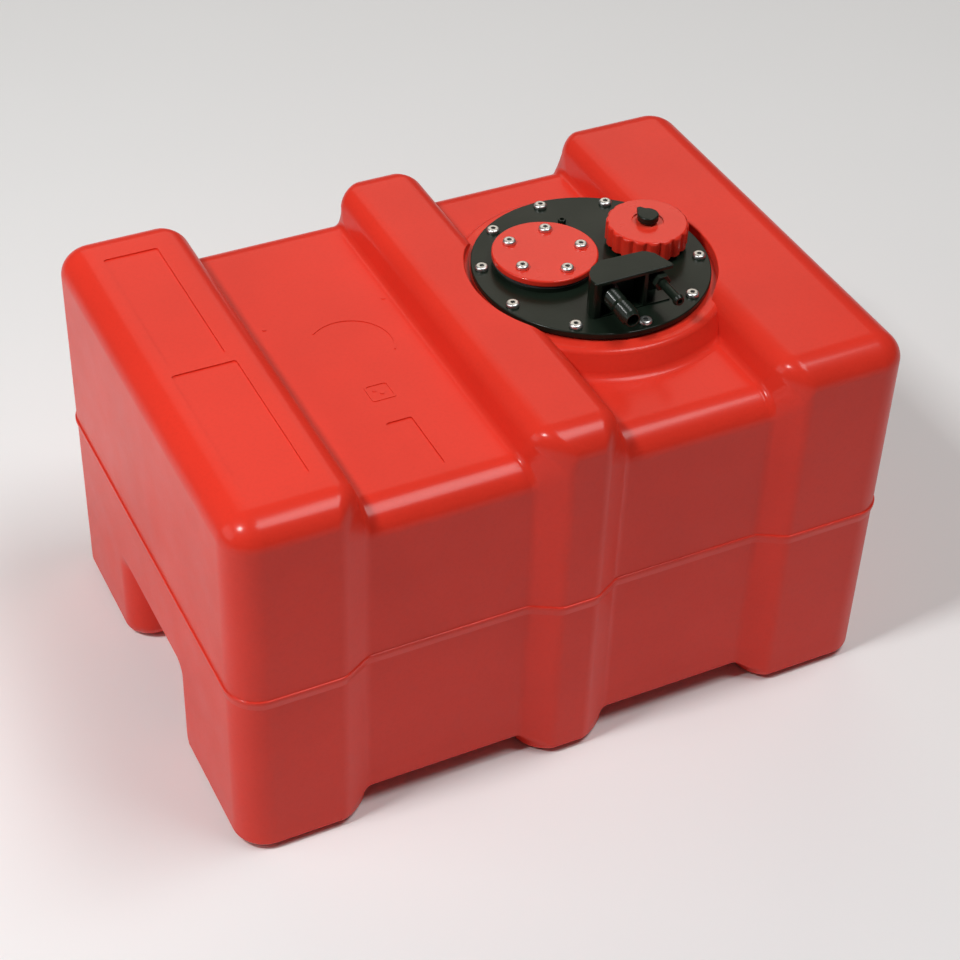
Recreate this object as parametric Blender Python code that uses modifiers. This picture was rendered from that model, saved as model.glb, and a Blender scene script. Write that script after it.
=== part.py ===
"""A moulded fuel tank of about 42 litres with a round service flange.

The tank stands on its base at z = 0, centred on the origin. X runs along its length, the flange
sits over the channel on the +X side, and the front, where the hose tails point, faces -Y.
Everything is in metres.
"""
import math

import bmesh
import bpy
from mathutils import Matrix, Vector

# Tank body
TANK_LENGTH = 0.500
TANK_WIDTH = 0.350
TANK_HEIGHT = 0.292
WALL = 0.0055
PLAN_RADIUS = 0.024
TOP_RADIUS = 0.0195
BASE_RADIUS = 0.0075

# Strap channels that run round the tank between its three bands: the floors of both on each
# face, and the width, depth, shoulder radius and foot radius of the flanks there
SIDE_FLOORS = ((-0.150, -0.038), (0.037, 0.143))
TOP_FLOORS = ((-0.149, -0.043), (0.036, 0.143))
BASE_FLOORS = ((-0.146, -0.038), (0.043, 0.1485))
SIDE_FLANK_WIDTH = 0.028
TOP_FLANK_WIDTH = 0.0228
BASE_FLANK_WIDTH = 0.0135
SIDE_CHANNEL_DEPTH = 0.0115
TOP_CHANNEL_DEPTH = 0.0258
BASE_CHANNEL_HEIGHT = 0.0124
SIDE_SHOULDER_RADIUS = 0.015
SIDE_FOOT_RADIUS = 0.013
TOP_SHOULDER_RADIUS = 0.0163
TOP_FOOT_RADIUS = 0.005
BASE_SHOULDER_RADIUS = 0.009
BASE_FOOT_RADIUS = 0.003

# Seam bead, and the lower half that sits in from the upper one
BEAD_TOP = 0.1463
BEAD_HEIGHT = 0.008
BEAD_PROUD = 0.0008
BEAD_EDGE = 0.0005
LOWER_INSET = 0.0002

# Carrying grips let into the foot of both ends
GRIP_HEIGHT = 0.078
GRIP_HALF_WIDTH = 0.047
GRIP_OFFSET = 0.005
GRIP_DEPTH = 0.062
GRIP_MOUTH_RADIUS = 0.022
GRIP_LIP_RADIUS = 0.006
GRIP_CORNER_RADIUS = 0.012
GRIP_FOOT_RADIUS = 0.014
GRIP_BACK_RADIUS = 0.012

# Round seat for the flange
FLANGE_X = 0.0912
SEAT_DROP = 0.0077
SEAT_RADIUS = 0.098
SEAT_LEDGE = 0.008
SEAT_LIP_RADIUS = 0.0012
SEAT_EDGE_RADIUS = 0.005
SEAT_ROOT_RADIUS = 0.008
SEAT_FLARE = 0.004
SEAT_SKIM = 0.00005
SEAT_SINK = 0.0005
MOAT_RADIUS = SEAT_RADIUS - SEAT_LEDGE

# Flange plate and its gasket
CLEARANCE = 0.0003
GASKET_THICKNESS = 0.0012
GASKET_INSET = 0.002
PLATE_MARGIN = 0.0045
PLATE_RADIUS = MOAT_RADIUS - PLATE_MARGIN
GASKET_RADIUS = PLATE_RADIUS - GASKET_INSET
PLATE_THICKNESS = 0.0045
PLATE_EDGE = 0.0008

# Screws and inserts: M5 button heads in brass inserts
SCREW_MARGIN = 0.0072
SCREW_CIRCLE_RADIUS = PLATE_RADIUS - SCREW_MARGIN
SCREW_COUNT = 10
SCREW_FIRST_ANGLE = math.radians(18.2)
SCREW_TURN = math.radians(57)
SHANK_RADIUS = 0.0022
SHANK_HOLE_RADIUS = 0.0028
HEAD_RADIUS = 0.0047
HEAD_HEIGHT = 0.0028
HEAD_RIM = 0.0010
HEAD_CROWN_RADIUS = 0.0030
SOCKET_RADIUS = 0.0018
SOCKET_DEPTH = 0.0016
INSERT_RADIUS = 0.0037
INSERT_LENGTH = 0.010
FLANGE_SCREW_LENGTH = 0.016
COVER_SCREW_LENGTH = 0.012
COVER_INSERT_LENGTH = 0.0045

# Opening in the tank, inside the ring of inserts, and the spigot that drops into it
OPENING_MARGIN = 0.0133
OPENING_RADIUS = SCREW_CIRCLE_RADIUS - OPENING_MARGIN
SPIGOT_GAP = 0.0025
SPIGOT_RADIUS = OPENING_RADIUS - SPIGOT_GAP
SPIGOT_WALL = 0.004
SPIGOT_HEIGHT = 0.011

# Level sender's blanking cover, on the five-hole pattern that such senders share. What stands on
# the plate is placed from the plate's centre, in shares of its radius.
COVER_PLACE_SHARES = (-0.357, 0.153)
COVER_RADIUS_SHARE = 0.443
COVER_RADIUS = COVER_RADIUS_SHARE * PLATE_RADIUS
COVER_THICKNESS = 0.005
COVER_EDGE = 0.0012
COVER_SHOULDER = 0.0004
COVER_BOSS_INSET = 0.0010
COVER_BOSS_RADIUS = COVER_RADIUS - COVER_BOSS_INSET
COVER_BOSS_HEIGHT = 0.003
COVER_GASKET_INSET = 0.0007
COVER_GASKET_RADIUS = COVER_RADIUS - COVER_GASKET_INSET
COVER_GASKET_THICKNESS = 0.0015
COVER_SCREW_MARGIN = 0.0112
COVER_CIRCLE_RADIUS = COVER_RADIUS - COVER_SCREW_MARGIN
SENDER_HOLE_MARGIN = 0.0067
SENDER_HOLE_RADIUS = COVER_CIRCLE_RADIUS - SENDER_HOLE_MARGIN
COVER_SCREW_COUNT = 5
COVER_FIRST_ANGLE = math.radians(62.5)

# Filler neck and cap
CAP_PLACE_SHARES = (0.557, 0.070)
CAP_RADIUS_SHARE = 0.346
CAP_RADIUS = CAP_RADIUS_SHARE * PLATE_RADIUS
CAP_HEIGHT = 0.0158
CAP_TOP_THICKNESS = 0.003
CAP_LIFT_OFF_PLATE = 0.0036
CAP_LOBES = 18
LOBE_DEPTH = 0.0018
CAP_EDGE_RADIUS = 0.0022
THREAD_GAP = 0.0004
CAP_SKIRT = 0.0060
NECK_RADIUS = CAP_RADIUS - CAP_SKIRT - THREAD_GAP
NECK_WALL = 0.0054
NECK_BORE_RADIUS = NECK_RADIUS - NECK_WALL
CAP_SEAL_THICKNESS = 0.002
CAP_SEAL_WIDTH = 0.0040
DISH_RADIUS = 0.0115
DISH_DEPTH = 0.0008

# Vent screw in the cap
VENT_RADIUS = 0.0077
VENT_HEIGHT = 0.0052
VENT_SHAFT_RADIUS = 0.0030
VENT_SHAFT_LENGTH = 0.0090
VENT_DISC_RADIUS = 0.0100
VENT_DISC_THICKNESS = 0.0030
VENT_POINTER_LENGTH = 0.0115
VENT_POINTER_RADIUS = 0.0018
VENT_POINTER_ANGLE = math.radians(101)
VENT_SEAL_THICKNESS = 0.0012
VENT_SEAL_WIDTH = 0.0016
VENT_EDGE = 0.0010

# Hood over the hose tails
HOOD_HEIGHT = 0.029
HOOD_OUTLINE_SHARES = (
    (-0.371, -0.719),
    (0.363, -0.719),
    (0.284, -0.509),
    (0.220, -0.447),
    (-0.178, -0.428),
    (-0.283, -0.485),
    (-0.336, -0.550),
    (-0.365, -0.632),
)
HOOD_ROOF = 0.0026
HOOD_WALL = 0.0028
HOOD_CELL_SHARE = -0.305
HOOD_PORT_SHARE = -0.556
HOOD_FLOOR = 0.0010
HOOD_EDGE = 0.0010
HOOD_CORNER = 0.0020
PARTITION_SHARE = 0.103

# Small moulded peg on the plate, behind the cover
PEG_PLACE_SHARES = (0.046, 0.613)
PEG_RADIUS = 0.0030
PEG_HEIGHT = 0.0042
PEG_DIMPLE_RADIUS = 0.0017
PEG_DIMPLE_DEPTH = 0.0020

# Breather hose tail
BREATHER_PLACE_SHARE = -0.205
BREATHER_HEIGHT = 0.0150
BREATHER_FIT = 0.0004
BREATHER_COLLAR_STEP = 0.0013
RIB_DEPTH = 0.0010
BREATHER_WALL = 0.0015
BREATHER_COLLAR_LENGTH = 0.0070
BREATHER_SEAL_WIDTH = 0.00295
BREATHER_SHANK_WALL = 0.0012
BREATHER_SHANK_LENGTH = 0.0040
BREATHER_NECK_LENGTH = 0.0030
RIB_PITCH = 0.0025
RIB_COUNT = 5
RIB_GROUP_GAP = 0.0032
BREATHER_TIP_LENGTH = 0.0032
BREATHER_EDGE = 0.0007
RIB_RISE_SHARE = 0.2

# Fuel hose tail
FUEL_PLACE_SHARE = 0.238
FUEL_HEIGHT = 0.0178
FUEL_RADIUS = 0.0032
FUEL_BORE = 0.0018
FUEL_HEX_BORE = 0.0026
FUEL_SHANK_RADIUS = 0.0034
FUEL_SHANK_LENGTH = 0.0040
FUEL_COLLAR_RADIUS = 0.0050
FUEL_COLLAR_LENGTH = 0.0060
FUEL_HEX_RADIUS = 0.0065
FUEL_HEX_LENGTH = 0.0090
FUEL_TUBE_LENGTH = 0.0235
FUEL_FLARE_RADIUS = 0.0042
FUEL_FLARE_LENGTH = 0.0042
FUEL_FLARE_EDGE = 0.0010
FUEL_HEX_EDGE = 0.0005
TAIL_SEAL_THICKNESS = 0.0012
PASSAGE_RADIUS = 0.0022

# Pickup tube and strainer
PICKUP_RADIUS = 0.0040
PICKUP_BORE = 0.0028
SOCKET_WALL = 0.0025
PICKUP_SOCKET_DEPTH = 0.010
STRAINER_RADIUS = 0.0080
STRAINER_WALL = 0.0018
STRAINER_HEIGHT = 0.024
STRAINER_FLOOR_GAP = 0.0005
STRAINER_SLOTS = 6
STRAINER_SLOT_WIDTH = 0.0030
STRAINER_BAND = 0.004
PICKUP_ENTRY = 0.008

# Overrun that every cutter has past the face it cuts, and the distance that joins loose points
OVERRUN = 0.002
MERGE_DISTANCE = 0.00001

# Segment counts
BEND_STEPS = 3
FLANK_STEPS = 3
HOLLOW_STEPS = 2
ARC_STEPS = 3
ROUND_SEGMENTS = 48
RING_SEGMENTS = 24
SMALL_SEGMENTS = 20
HEAD_SEGMENTS = 12
POINTS_PER_LOBE = 5

# Levels and places that follow from the sizes above
SEAT_LEVEL = TANK_HEIGHT - SEAT_DROP
RECESS_LEVEL = TANK_HEIGHT - TOP_CHANNEL_DEPTH
GASKET_BOTTOM = SEAT_LEVEL + CLEARANCE
PLATE_BOTTOM = GASKET_BOTTOM + GASKET_THICKNESS + CLEARANCE
PLATE_TOP = PLATE_BOTTOM + PLATE_THICKNESS
COVER_BOSS_TOP = PLATE_TOP + COVER_BOSS_HEIGHT
COVER_GASKET_BOTTOM = COVER_BOSS_TOP + CLEARANCE
COVER_BOTTOM = COVER_GASKET_BOTTOM + COVER_GASKET_THICKNESS + CLEARANCE
COVER_TOP = COVER_BOTTOM + COVER_THICKNESS
CAP_BOTTOM = PLATE_TOP + CAP_LIFT_OFF_PLATE
CAP_TOP = CAP_BOTTOM + CAP_HEIGHT
CAP_CEILING = CAP_TOP - CAP_TOP_THICKNESS
NECK_TOP = CAP_CEILING - CAP_SEAL_THICKNESS - 2 * CLEARANCE
HOOD_TOP = PLATE_TOP + HOOD_HEIGHT
TANK_FLOOR_IN_CHANNEL = BASE_CHANNEL_HEIGHT + WALL
FLANGE_CENTRE = Vector((FLANGE_X, 0, 0))
COVER_CENTRE = FLANGE_CENTRE + PLATE_RADIUS * Vector((*COVER_PLACE_SHARES, 0))
CAP_CENTRE = FLANGE_CENTRE + PLATE_RADIUS * Vector((*CAP_PLACE_SHARES, 0))
PEG_PLACE = FLANGE_CENTRE + PLATE_RADIUS * Vector((*PEG_PLACE_SHARES, 0))
HOOD_CELL_X = FLANGE_X + PLATE_RADIUS * HOOD_CELL_SHARE
HOOD_PORT_FACE = PLATE_RADIUS * HOOD_PORT_SHARE
PARTITION_X = FLANGE_X + PLATE_RADIUS * PARTITION_SHARE
BREATHER_X = FLANGE_X + PLATE_RADIUS * BREATHER_PLACE_SHARE
BREATHER_COLLAR_RADIUS = BREATHER_X - HOOD_CELL_X - BREATHER_FIT
BREATHER_RADIUS = BREATHER_COLLAR_RADIUS - BREATHER_COLLAR_STEP
BREATHER_ROOT_RADIUS = BREATHER_RADIUS - RIB_DEPTH
BREATHER_BORE = BREATHER_ROOT_RADIUS - BREATHER_WALL
BREATHER_SEAL_RADIUS = BREATHER_COLLAR_RADIUS - BREATHER_EDGE
BREATHER_SEAL_BORE = BREATHER_SEAL_RADIUS - BREATHER_SEAL_WIDTH
BREATHER_SHANK_RADIUS = BREATHER_SEAL_BORE - CLEARANCE
BREATHER_SHANK_BORE = BREATHER_SHANK_RADIUS - BREATHER_SHANK_WALL
FUEL_X = FLANGE_X + PLATE_RADIUS * FUEL_PLACE_SHARE
PASSAGE_Y = HOOD_PORT_FACE + BREATHER_SHANK_LENGTH + CLEARANCE

RED = (0.76, 0.035, 0.010, 1)
BLACK = (0.012, 0.016, 0.014, 1)
GREY_RUBBER = (0.030, 0.030, 0.032, 1)
STEEL = (0.62, 0.62, 0.60, 1)
BRASS = (0.70, 0.47, 0.16, 1)
FILTER = (0.55, 0.56, 0.52, 1)


def clear_scene():
    """Empty the file of objects, and of collections left by an earlier run."""
    for item in list(bpy.data.objects):
        bpy.data.objects.remove(item)
    for group in list(bpy.data.collections):
        bpy.data.collections.remove(group)


def new_collection(name):
    """Make a collection in the scene."""
    group = bpy.data.collections.new(name)
    bpy.context.scene.collection.children.link(group)
    return group


def plastic(name, colour, roughness, metallic=0.0):
    """Make a Principled material."""
    material = bpy.data.materials.new(name)
    material.use_nodes = True
    shader = material.node_tree.nodes["Principled BSDF"]
    shader.inputs["Base Color"].default_value = colour
    shader.inputs["Roughness"].default_value = roughness
    shader.inputs["Metallic"].default_value = metallic
    return material


def add_object(name, mesh, material=None):
    """Link a mesh as a part, or as a cutter where it has no material."""
    item = bpy.data.objects.new(name, mesh)
    if material is None:
        CUTTERS.objects.link(item)
        item.hide_render = True
        item.display_type = "WIRE"
    else:
        PARTS.objects.link(item)
        mesh.materials.clear()
        mesh.materials.append(material)
    return item


def smooth(mesh, angle=math.radians(35)):
    """Shade round faces smooth and keep the sharp edges."""
    mesh.shade_smooth()
    mesh.set_sharp_from_angle(angle=angle)


def mesh_from(build, name):
    """Turn a finished bmesh into a mesh with its faces pointing out."""
    bmesh.ops.recalc_face_normals(build, faces=build.faces)
    mesh = bpy.data.meshes.new(name)
    build.to_mesh(mesh)
    build.free()
    smooth(mesh)
    return mesh


def evaluated_mesh(item):
    """Bake an object's modifiers into a new mesh."""
    bpy.context.view_layer.update()
    graph = bpy.context.evaluated_depsgraph_get()
    mesh = bpy.data.meshes.new_from_object(item.evaluated_get(graph))
    smooth(mesh)
    return mesh


def boolean(target, tool, operation):
    """Cut a tool from a part, or join it to the part."""
    step = target.modifiers.new(operation.lower() + "_" + tool.name, "BOOLEAN")
    step.operation = operation
    step.solver = "EXACT"
    step.object = tool
    return step


def cut(target, tool):
    return boolean(target, tool, "DIFFERENCE")


def join(target, tool):
    return boolean(target, tool, "UNION")


def turned(name, profile, segments, material=None, place=(0, 0, 0)):
    """Turn a closed or axis-to-axis profile of (radius, height) points about Z."""
    build = bmesh.new()
    points = [build.verts.new((radius, 0, height)) for radius, height in profile]
    for first, second in zip(points, points[1:]):
        build.edges.new((first, second))
    if profile[0][0] > 0:
        build.edges.new((points[-1], points[0]))
    mesh = bpy.data.meshes.new(name)
    build.to_mesh(mesh)
    build.free()
    item = add_object(name, mesh, material)
    item.location = place
    screw = item.modifiers.new("turn", "SCREW")
    screw.steps = segments
    screw.render_steps = segments
    screw.use_merge_vertices = True
    screw.merge_threshold = MERGE_DISTANCE
    return item


def cylinder(name, radius, low, high, segments, place=(0, 0, 0), material=None):
    """Make an upright cylinder between two levels, turned half a segment from what it meets."""
    build = bmesh.new()
    bmesh.ops.create_cone(
        build,
        cap_ends=True,
        segments=segments,
        radius1=radius,
        radius2=radius,
        depth=high - low,
        matrix=Matrix.Rotation(math.pi / segments, 4, "Z"),
    )
    mesh = mesh_from(build, name)
    item = add_object(name, mesh, material)
    item.location = Vector(place) + Vector((0, 0, (low + high) / 2))
    return item


def ring_of_cylinders(name, radius, low, high, places, segments):
    """Make one cutter from a cylinder at each place."""
    build = bmesh.new()
    half_turn = Matrix.Rotation(math.pi / segments, 4, "Z")
    for place in places:
        bmesh.ops.create_cone(
            build,
            cap_ends=True,
            segments=segments,
            radius1=radius,
            radius2=radius,
            depth=high - low,
            matrix=Matrix.Translation(Vector((place.x, place.y, (low + high) / 2))) @ half_turn,
        )
    return add_object(name, mesh_from(build, name))


def box(name, low, high):
    """Make a box cutter between two corners."""
    low = Vector(low)
    high = Vector(high)
    build = bmesh.new()
    bmesh.ops.create_cube(build, size=1)
    bmesh.ops.scale(build, verts=build.verts, vec=high - low)
    bmesh.ops.translate(build, verts=build.verts, vec=(low + high) / 2)
    return add_object(name, mesh_from(build, name))


def rounded(outline, radius):
    """Round the corners of a flat outline."""
    corners = [Vector(point) for point in outline]
    points = []
    for index, corner in enumerate(corners):
        back = (corners[index - 1] - corner).normalized()
        ahead = (corners[(index + 1) % len(corners)] - corner).normalized()
        half = back.angle(ahead) / 2
        centre = corner + (back + ahead).normalized() * radius / math.sin(half)
        start = corner + back * radius / math.tan(half) - centre
        end = corner + ahead * radius / math.tan(half) - centre
        for step in range(ARC_STEPS + 1):
            points.append(centre + radius * start.lerp(end, step / ARC_STEPS).normalized())
    return points


def prism(name, outline, low, high, edge=0):
    """Extrude a flat outline between two levels, and round the top edge if it is given one."""
    curve = bpy.data.curves.new(name, "CURVE")
    curve.dimensions = "2D"
    curve.fill_mode = "BOTH"
    curve.extrude = (high - low) / 2
    spline = curve.splines.new("POLY")
    spline.points.add(len(outline) - 1)
    for point, (x, y) in zip(spline.points, outline):
        point.co = (x, y, 0, 1)
    spline.use_cyclic_u = True
    source = bpy.data.objects.new(name + "_curve", curve)
    CUTTERS.objects.link(source)
    bpy.context.view_layer.update()
    graph = bpy.context.evaluated_depsgraph_get()
    raw = bpy.data.meshes.new_from_object(source.evaluated_get(graph))
    bpy.data.objects.remove(source)
    build = bmesh.new()
    build.from_mesh(raw)
    bmesh.ops.remove_doubles(build, verts=build.verts, dist=MERGE_DISTANCE)
    bmesh.ops.translate(build, verts=build.verts, vec=(0, 0, (low + high) / 2))
    bpy.data.meshes.remove(raw)
    flat = math.radians(1)
    bmesh.ops.dissolve_limit(build, angle_limit=flat, verts=build.verts, edges=build.edges)
    if edge:
        middle = (low + high) / 2
        rim = [item for item in build.edges if min(point.co.z for point in item.verts) > middle]
        bmesh.ops.bevel(build, geom=rim, offset=edge, segments=2, profile=0.5, affect="EDGES")
    return add_object(name, mesh_from(build, name))


def arc(centre, radius, start, end, steps):
    """Points on an arc between two angles in degrees, ends included."""
    points = []
    for step in range(steps + 1):
        angle = math.radians(start + (end - start) * step / steps)
        points.append((centre[0] + radius * math.cos(angle), centre[1] + radius * math.sin(angle)))
    return points


def on_circle(centre, radius, count, first_angle):
    """Places evenly spaced on a circle."""
    places = []
    for index in range(count):
        angle = first_angle + index * math.tau / count
        places.append(centre + radius * Vector((math.cos(angle), math.sin(angle), 0)))
    return places


def flank_points(width, depth, shoulder, foot, steps):
    """The S-shaped flank of a channel: an arc, a straight and an arc, from (0, 0) to (width, depth)."""
    both = shoulder + foot
    reach = math.hypot(width, both - depth)
    slope = math.asin(min(1, both / reach)) - math.atan2(both - depth, width)
    upper = []
    lower = []
    for step in range(steps + 1):
        angle = slope * step / steps
        along = math.sin(angle)
        drop = 1 - math.cos(angle)
        upper.append((shoulder * along, shoulder * drop))
        lower.append((width - foot * along, depth - foot * drop))
    return upper + lower[::-1]


def channel_stations(index, wall, steps):
    """Stations across one channel: places and drops on the side, top and base faces."""
    faces = [
        (SIDE_FLOORS, SIDE_FLANK_WIDTH, SIDE_CHANNEL_DEPTH, SIDE_SHOULDER_RADIUS, SIDE_FOOT_RADIUS),
        (TOP_FLOORS, TOP_FLANK_WIDTH, TOP_CHANNEL_DEPTH, TOP_SHOULDER_RADIUS, TOP_FOOT_RADIUS),
        (BASE_FLOORS, BASE_FLANK_WIDTH, BASE_CHANNEL_HEIGHT, BASE_SHOULDER_RADIUS, BASE_FOOT_RADIUS),
    ]
    shapes = [flank_points(*face[1:], steps) for face in faces]
    starts = [face[0][index][0] - wall - face[1] for face in faces]
    ends = [face[0][index][1] + wall + face[1] for face in faces]
    falling = []
    rising = []
    for points in zip(*shapes):
        drops = [point[1] for point in points]
        falling.append(([edge + point[0] for edge, point in zip(starts, points)], drops, 0))
        rising.append(([edge - point[0] for edge, point in zip(ends, points)], drops, 0))
    return falling + rising[::-1]


def bend_shares(steps):
    """Outward shares of the levels in a rounded edge, from its middle to the flat."""
    return [math.tan(math.radians(45) * step / steps) for step in range(steps, -1, -1)]


def tank_levels(low, high, top_radius, base_radius, shares, bead):
    """Levels up the tank: place, outward share and how far the wall stands proud."""
    inset = -LOWER_INSET if bead else 0
    levels = [(low + base_radius, -share, inset) for share in shares]
    if bead:
        bead_low = BEAD_TOP - BEAD_HEIGHT
        levels.append((bead_low, 0, inset))
        levels.append((bead_low, 0, BEAD_PROUD - BEAD_EDGE))
        levels.append((bead_low + BEAD_EDGE, 0, BEAD_PROUD))
        levels.append((BEAD_TOP - BEAD_EDGE, 0, BEAD_PROUD))
        levels.append((BEAD_TOP, 0, BEAD_PROUD - BEAD_EDGE))
        levels.append((BEAD_TOP, 0, 0))
    levels += [(high - top_radius, share, 0) for share in reversed(shares)]
    return levels


def tank_block(name, wall, bend_steps, flank_steps, bead):
    """The banded block of the tank. With a wall it is the hollow inside that wall."""
    plan_radius = PLAN_RADIUS - wall
    top_radius = TOP_RADIUS - wall
    base_radius = BASE_RADIUS - wall
    core_x = TANK_LENGTH / 2 - PLAN_RADIUS
    shares = bend_shares(bend_steps)
    stations = [([-core_x] * 3, [0] * 3, -share) for share in shares]
    stations += channel_stations(0, wall, flank_steps)
    stations += channel_stations(1, wall, flank_steps)
    stations += [([core_x] * 3, [0] * 3, share) for share in reversed(shares)]
    across = [(-1, -share) for share in shares] + [(1, share) for share in reversed(shares)]
    levels = tank_levels(wall, TANK_HEIGHT - wall, top_radius, base_radius, shares, bead)

    def corner(i, j, k):
        places, drops, share_x = stations[i]
        side, share_y = across[j]
        z, share_z, proud = levels[k]
        out = Vector((share_x, share_y, share_z)).normalized()
        upper = out.z > 0
        flat_share = out.z * out.z
        x = places[0] * (1 - flat_share) + places[1 if upper else 2] * flat_share
        y = side * (TANK_WIDTH / 2 - drops[0] - PLAN_RADIUS)
        if k > len(levels) - len(shares) - 1:
            z -= drops[1]
        if k < len(shares):
            z += drops[2]
        plan = Vector((out.x, out.y, 0))
        point = Vector((x, y, z)) + plan_radius * plan
        point.z += (top_radius if upper else base_radius) * out.z
        return point + proud * plan

    build = bmesh.new()
    corners = {}

    def vertex(i, j, k):
        if (i, j, k) not in corners:
            corners[i, j, k] = build.verts.new(corner(i, j, k))
        return corners[i, j, k]

    last = (len(stations) - 1, len(across) - 1, len(levels) - 1)
    for axis in range(3):
        first, second = [other for other in range(3) if other != axis]
        for fixed in (0, last[axis]):
            for u in range(last[first]):
                for v in range(last[second]):
                    face = []
                    for du, dv in ((0, 0), (1, 0), (1, 1), (0, 1)):
                        key = [0, 0, 0]
                        key[axis] = fixed
                        key[first] = u + du
                        key[second] = v + dv
                        face.append(vertex(*key))
                    build.faces.new(face)
    return mesh_from(build, name)


def grip_outline(half_width, height):
    """Arch of a carrying grip in the YZ plane, with rounded feet, from below the base and back."""
    foot_centre = (half_width + GRIP_FOOT_RADIUS, GRIP_FOOT_RADIUS)
    foot = arc(foot_centre, GRIP_FOOT_RADIUS, 260, 180, ARC_STEPS)
    crown = arc(
        (half_width - GRIP_CORNER_RADIUS, height - GRIP_CORNER_RADIUS),
        GRIP_CORNER_RADIUS,
        0,
        90,
        ARC_STEPS,
    )
    half = [(foot[0][0], -OVERRUN)] + foot + crown
    return half + [(-y, z) for y, z in reversed(half)]


def grip_cutter(name, end, grow=0):
    """Loft a grip's space from an end face inwards: flared at its mouth, rounded at its back."""
    face = TANK_LENGTH / 2 - LOWER_INSET
    sections = [(-OVERRUN, GRIP_MOUTH_RADIUS, GRIP_LIP_RADIUS)]
    for step in range(2 * ARC_STEPS + 1):
        sink = GRIP_MOUTH_RADIUS * (1 - math.cos(math.radians(90) * step / (2 * ARC_STEPS)))
        lip = max(0, GRIP_LIP_RADIUS - sink)
        wide = GRIP_MOUTH_RADIUS - math.sqrt(GRIP_MOUTH_RADIUS**2 - (GRIP_MOUTH_RADIUS - sink) ** 2)
        high = GRIP_LIP_RADIUS - math.sqrt(GRIP_LIP_RADIUS**2 - lip**2)
        sections.append((sink, wide, high))
    for step in range(ARC_STEPS + 1):
        angle = math.radians(90) * step / ARC_STEPS
        sink = GRIP_DEPTH - GRIP_BACK_RADIUS * (1 - math.sin(angle))
        draw_in = GRIP_BACK_RADIUS * (math.cos(angle) - 1)
        sections.append((sink, draw_in, draw_in))
    build = bmesh.new()
    loops = []
    for sink, wide, high in sections:
        x = end * (face - sink - (grow if sink > 0 else 0))
        outline = grip_outline(GRIP_HALF_WIDTH + grow + wide, GRIP_HEIGHT + grow + high)
        loops.append([build.verts.new((x, GRIP_OFFSET + y, z)) for y, z in outline])
    for before, after in zip(loops, loops[1:]):
        for index in range(len(before)):
            following = (index + 1) % len(before)
            build.faces.new((before[index], before[following], after[following], after[index]))
    build.faces.new(loops[0])
    build.faces.new(loops[-1])
    return add_object(name, mesh_from(build, name))


def seat_boss_profile():
    """Round boss under the flange, flared at its root where it meets the channel's floor."""
    bottom = RECESS_LEVEL - WALL / 2
    top = SEAT_LEVEL + SEAT_SKIM
    edge_centre = (SEAT_RADIUS - SEAT_EDGE_RADIUS, top - SEAT_EDGE_RADIUS)
    edge = arc(edge_centre, SEAT_EDGE_RADIUS, 90, 15, ARC_STEPS)
    root_x = SEAT_RADIUS + SEAT_FLARE + SEAT_ROOT_RADIUS
    root = arc((root_x, RECESS_LEVEL + SEAT_ROOT_RADIUS), SEAT_ROOT_RADIUS, 195, 260, ARC_STEPS)
    foot = [(root_x, RECESS_LEVEL - SEAT_SINK), (root_x, bottom), (0, bottom)]
    return [(0, top)] + edge + root + foot


def seat_cut_profile():
    """Space cleared above the seat, rounded where it breaks through the bands' tops."""
    wide = MOAT_RADIUS + SEAT_LIP_RADIUS
    lip = arc((wide, TANK_HEIGHT - SEAT_LIP_RADIUS), SEAT_LIP_RADIUS, 90, 180, ARC_STEPS)
    top = TANK_HEIGHT + OVERRUN
    return [(0, top), (wide, top)] + lip + [(MOAT_RADIUS, SEAT_LEVEL), (0, SEAT_LEVEL)]


def make_tank():
    """Hollow moulded body with its channels, bead, grips and flange seat."""
    tank = add_object("tank_body", tank_block("tank_body", 0, BEND_STEPS, FLANK_STEPS, True), RED_PLASTIC)
    inside = tank_block("tank_hollow", WALL, HOLLOW_STEPS, 1, False)
    hollow = add_object("tank_hollow", inside)
    for end, side in ((-1, "left"), (1, "right")):
        cut(hollow, grip_cutter("grip_wall_" + side, end, WALL))
    seat_wall_radius = MOAT_RADIUS + WALL
    seat_wall_low = SEAT_LEVEL - WALL
    cut(
        hollow,
        cylinder(
            "seat_wall", seat_wall_radius, seat_wall_low, TANK_HEIGHT, ROUND_SEGMENTS, FLANGE_CENTRE
        ),
    )
    cut(tank, hollow)
    join(tank, turned("seat_boss", seat_boss_profile(), ROUND_SEGMENTS, None, FLANGE_CENTRE))
    cut(tank, turned("seat_space", seat_cut_profile(), ROUND_SEGMENTS, None, FLANGE_CENTRE))
    for end, side in ((-1, "left"), (1, "right")):
        cut(tank, grip_cutter("grip_" + side, end))
    opening_low = RECESS_LEVEL - WALL - OVERRUN
    cut(tank, cylinder("opening", OPENING_RADIUS, opening_low, TANK_HEIGHT, ROUND_SEGMENTS, FLANGE_CENTRE))
    pocket_low = SEAT_LEVEL - INSERT_LENGTH - 2 * CLEARANCE
    pocket_radius = INSERT_RADIUS + CLEARANCE
    pockets = ring_of_cylinders(
        "insert_pockets", pocket_radius, pocket_low, TANK_HEIGHT, FLANGE_SCREW_PLACES, SMALL_SEGMENTS
    )
    cut(tank, pockets)
    return tank


def make_insert_mesh(length):
    """Brass insert with a through bore."""
    bore = SHANK_RADIUS + CLEARANCE
    profile = [(bore, 0), (INSERT_RADIUS, 0), (INSERT_RADIUS, -length), (bore, -length)]
    source = turned("insert_form", profile, HEAD_SEGMENTS)
    mesh = evaluated_mesh(source)
    bpy.data.objects.remove(source)
    return mesh


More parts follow.
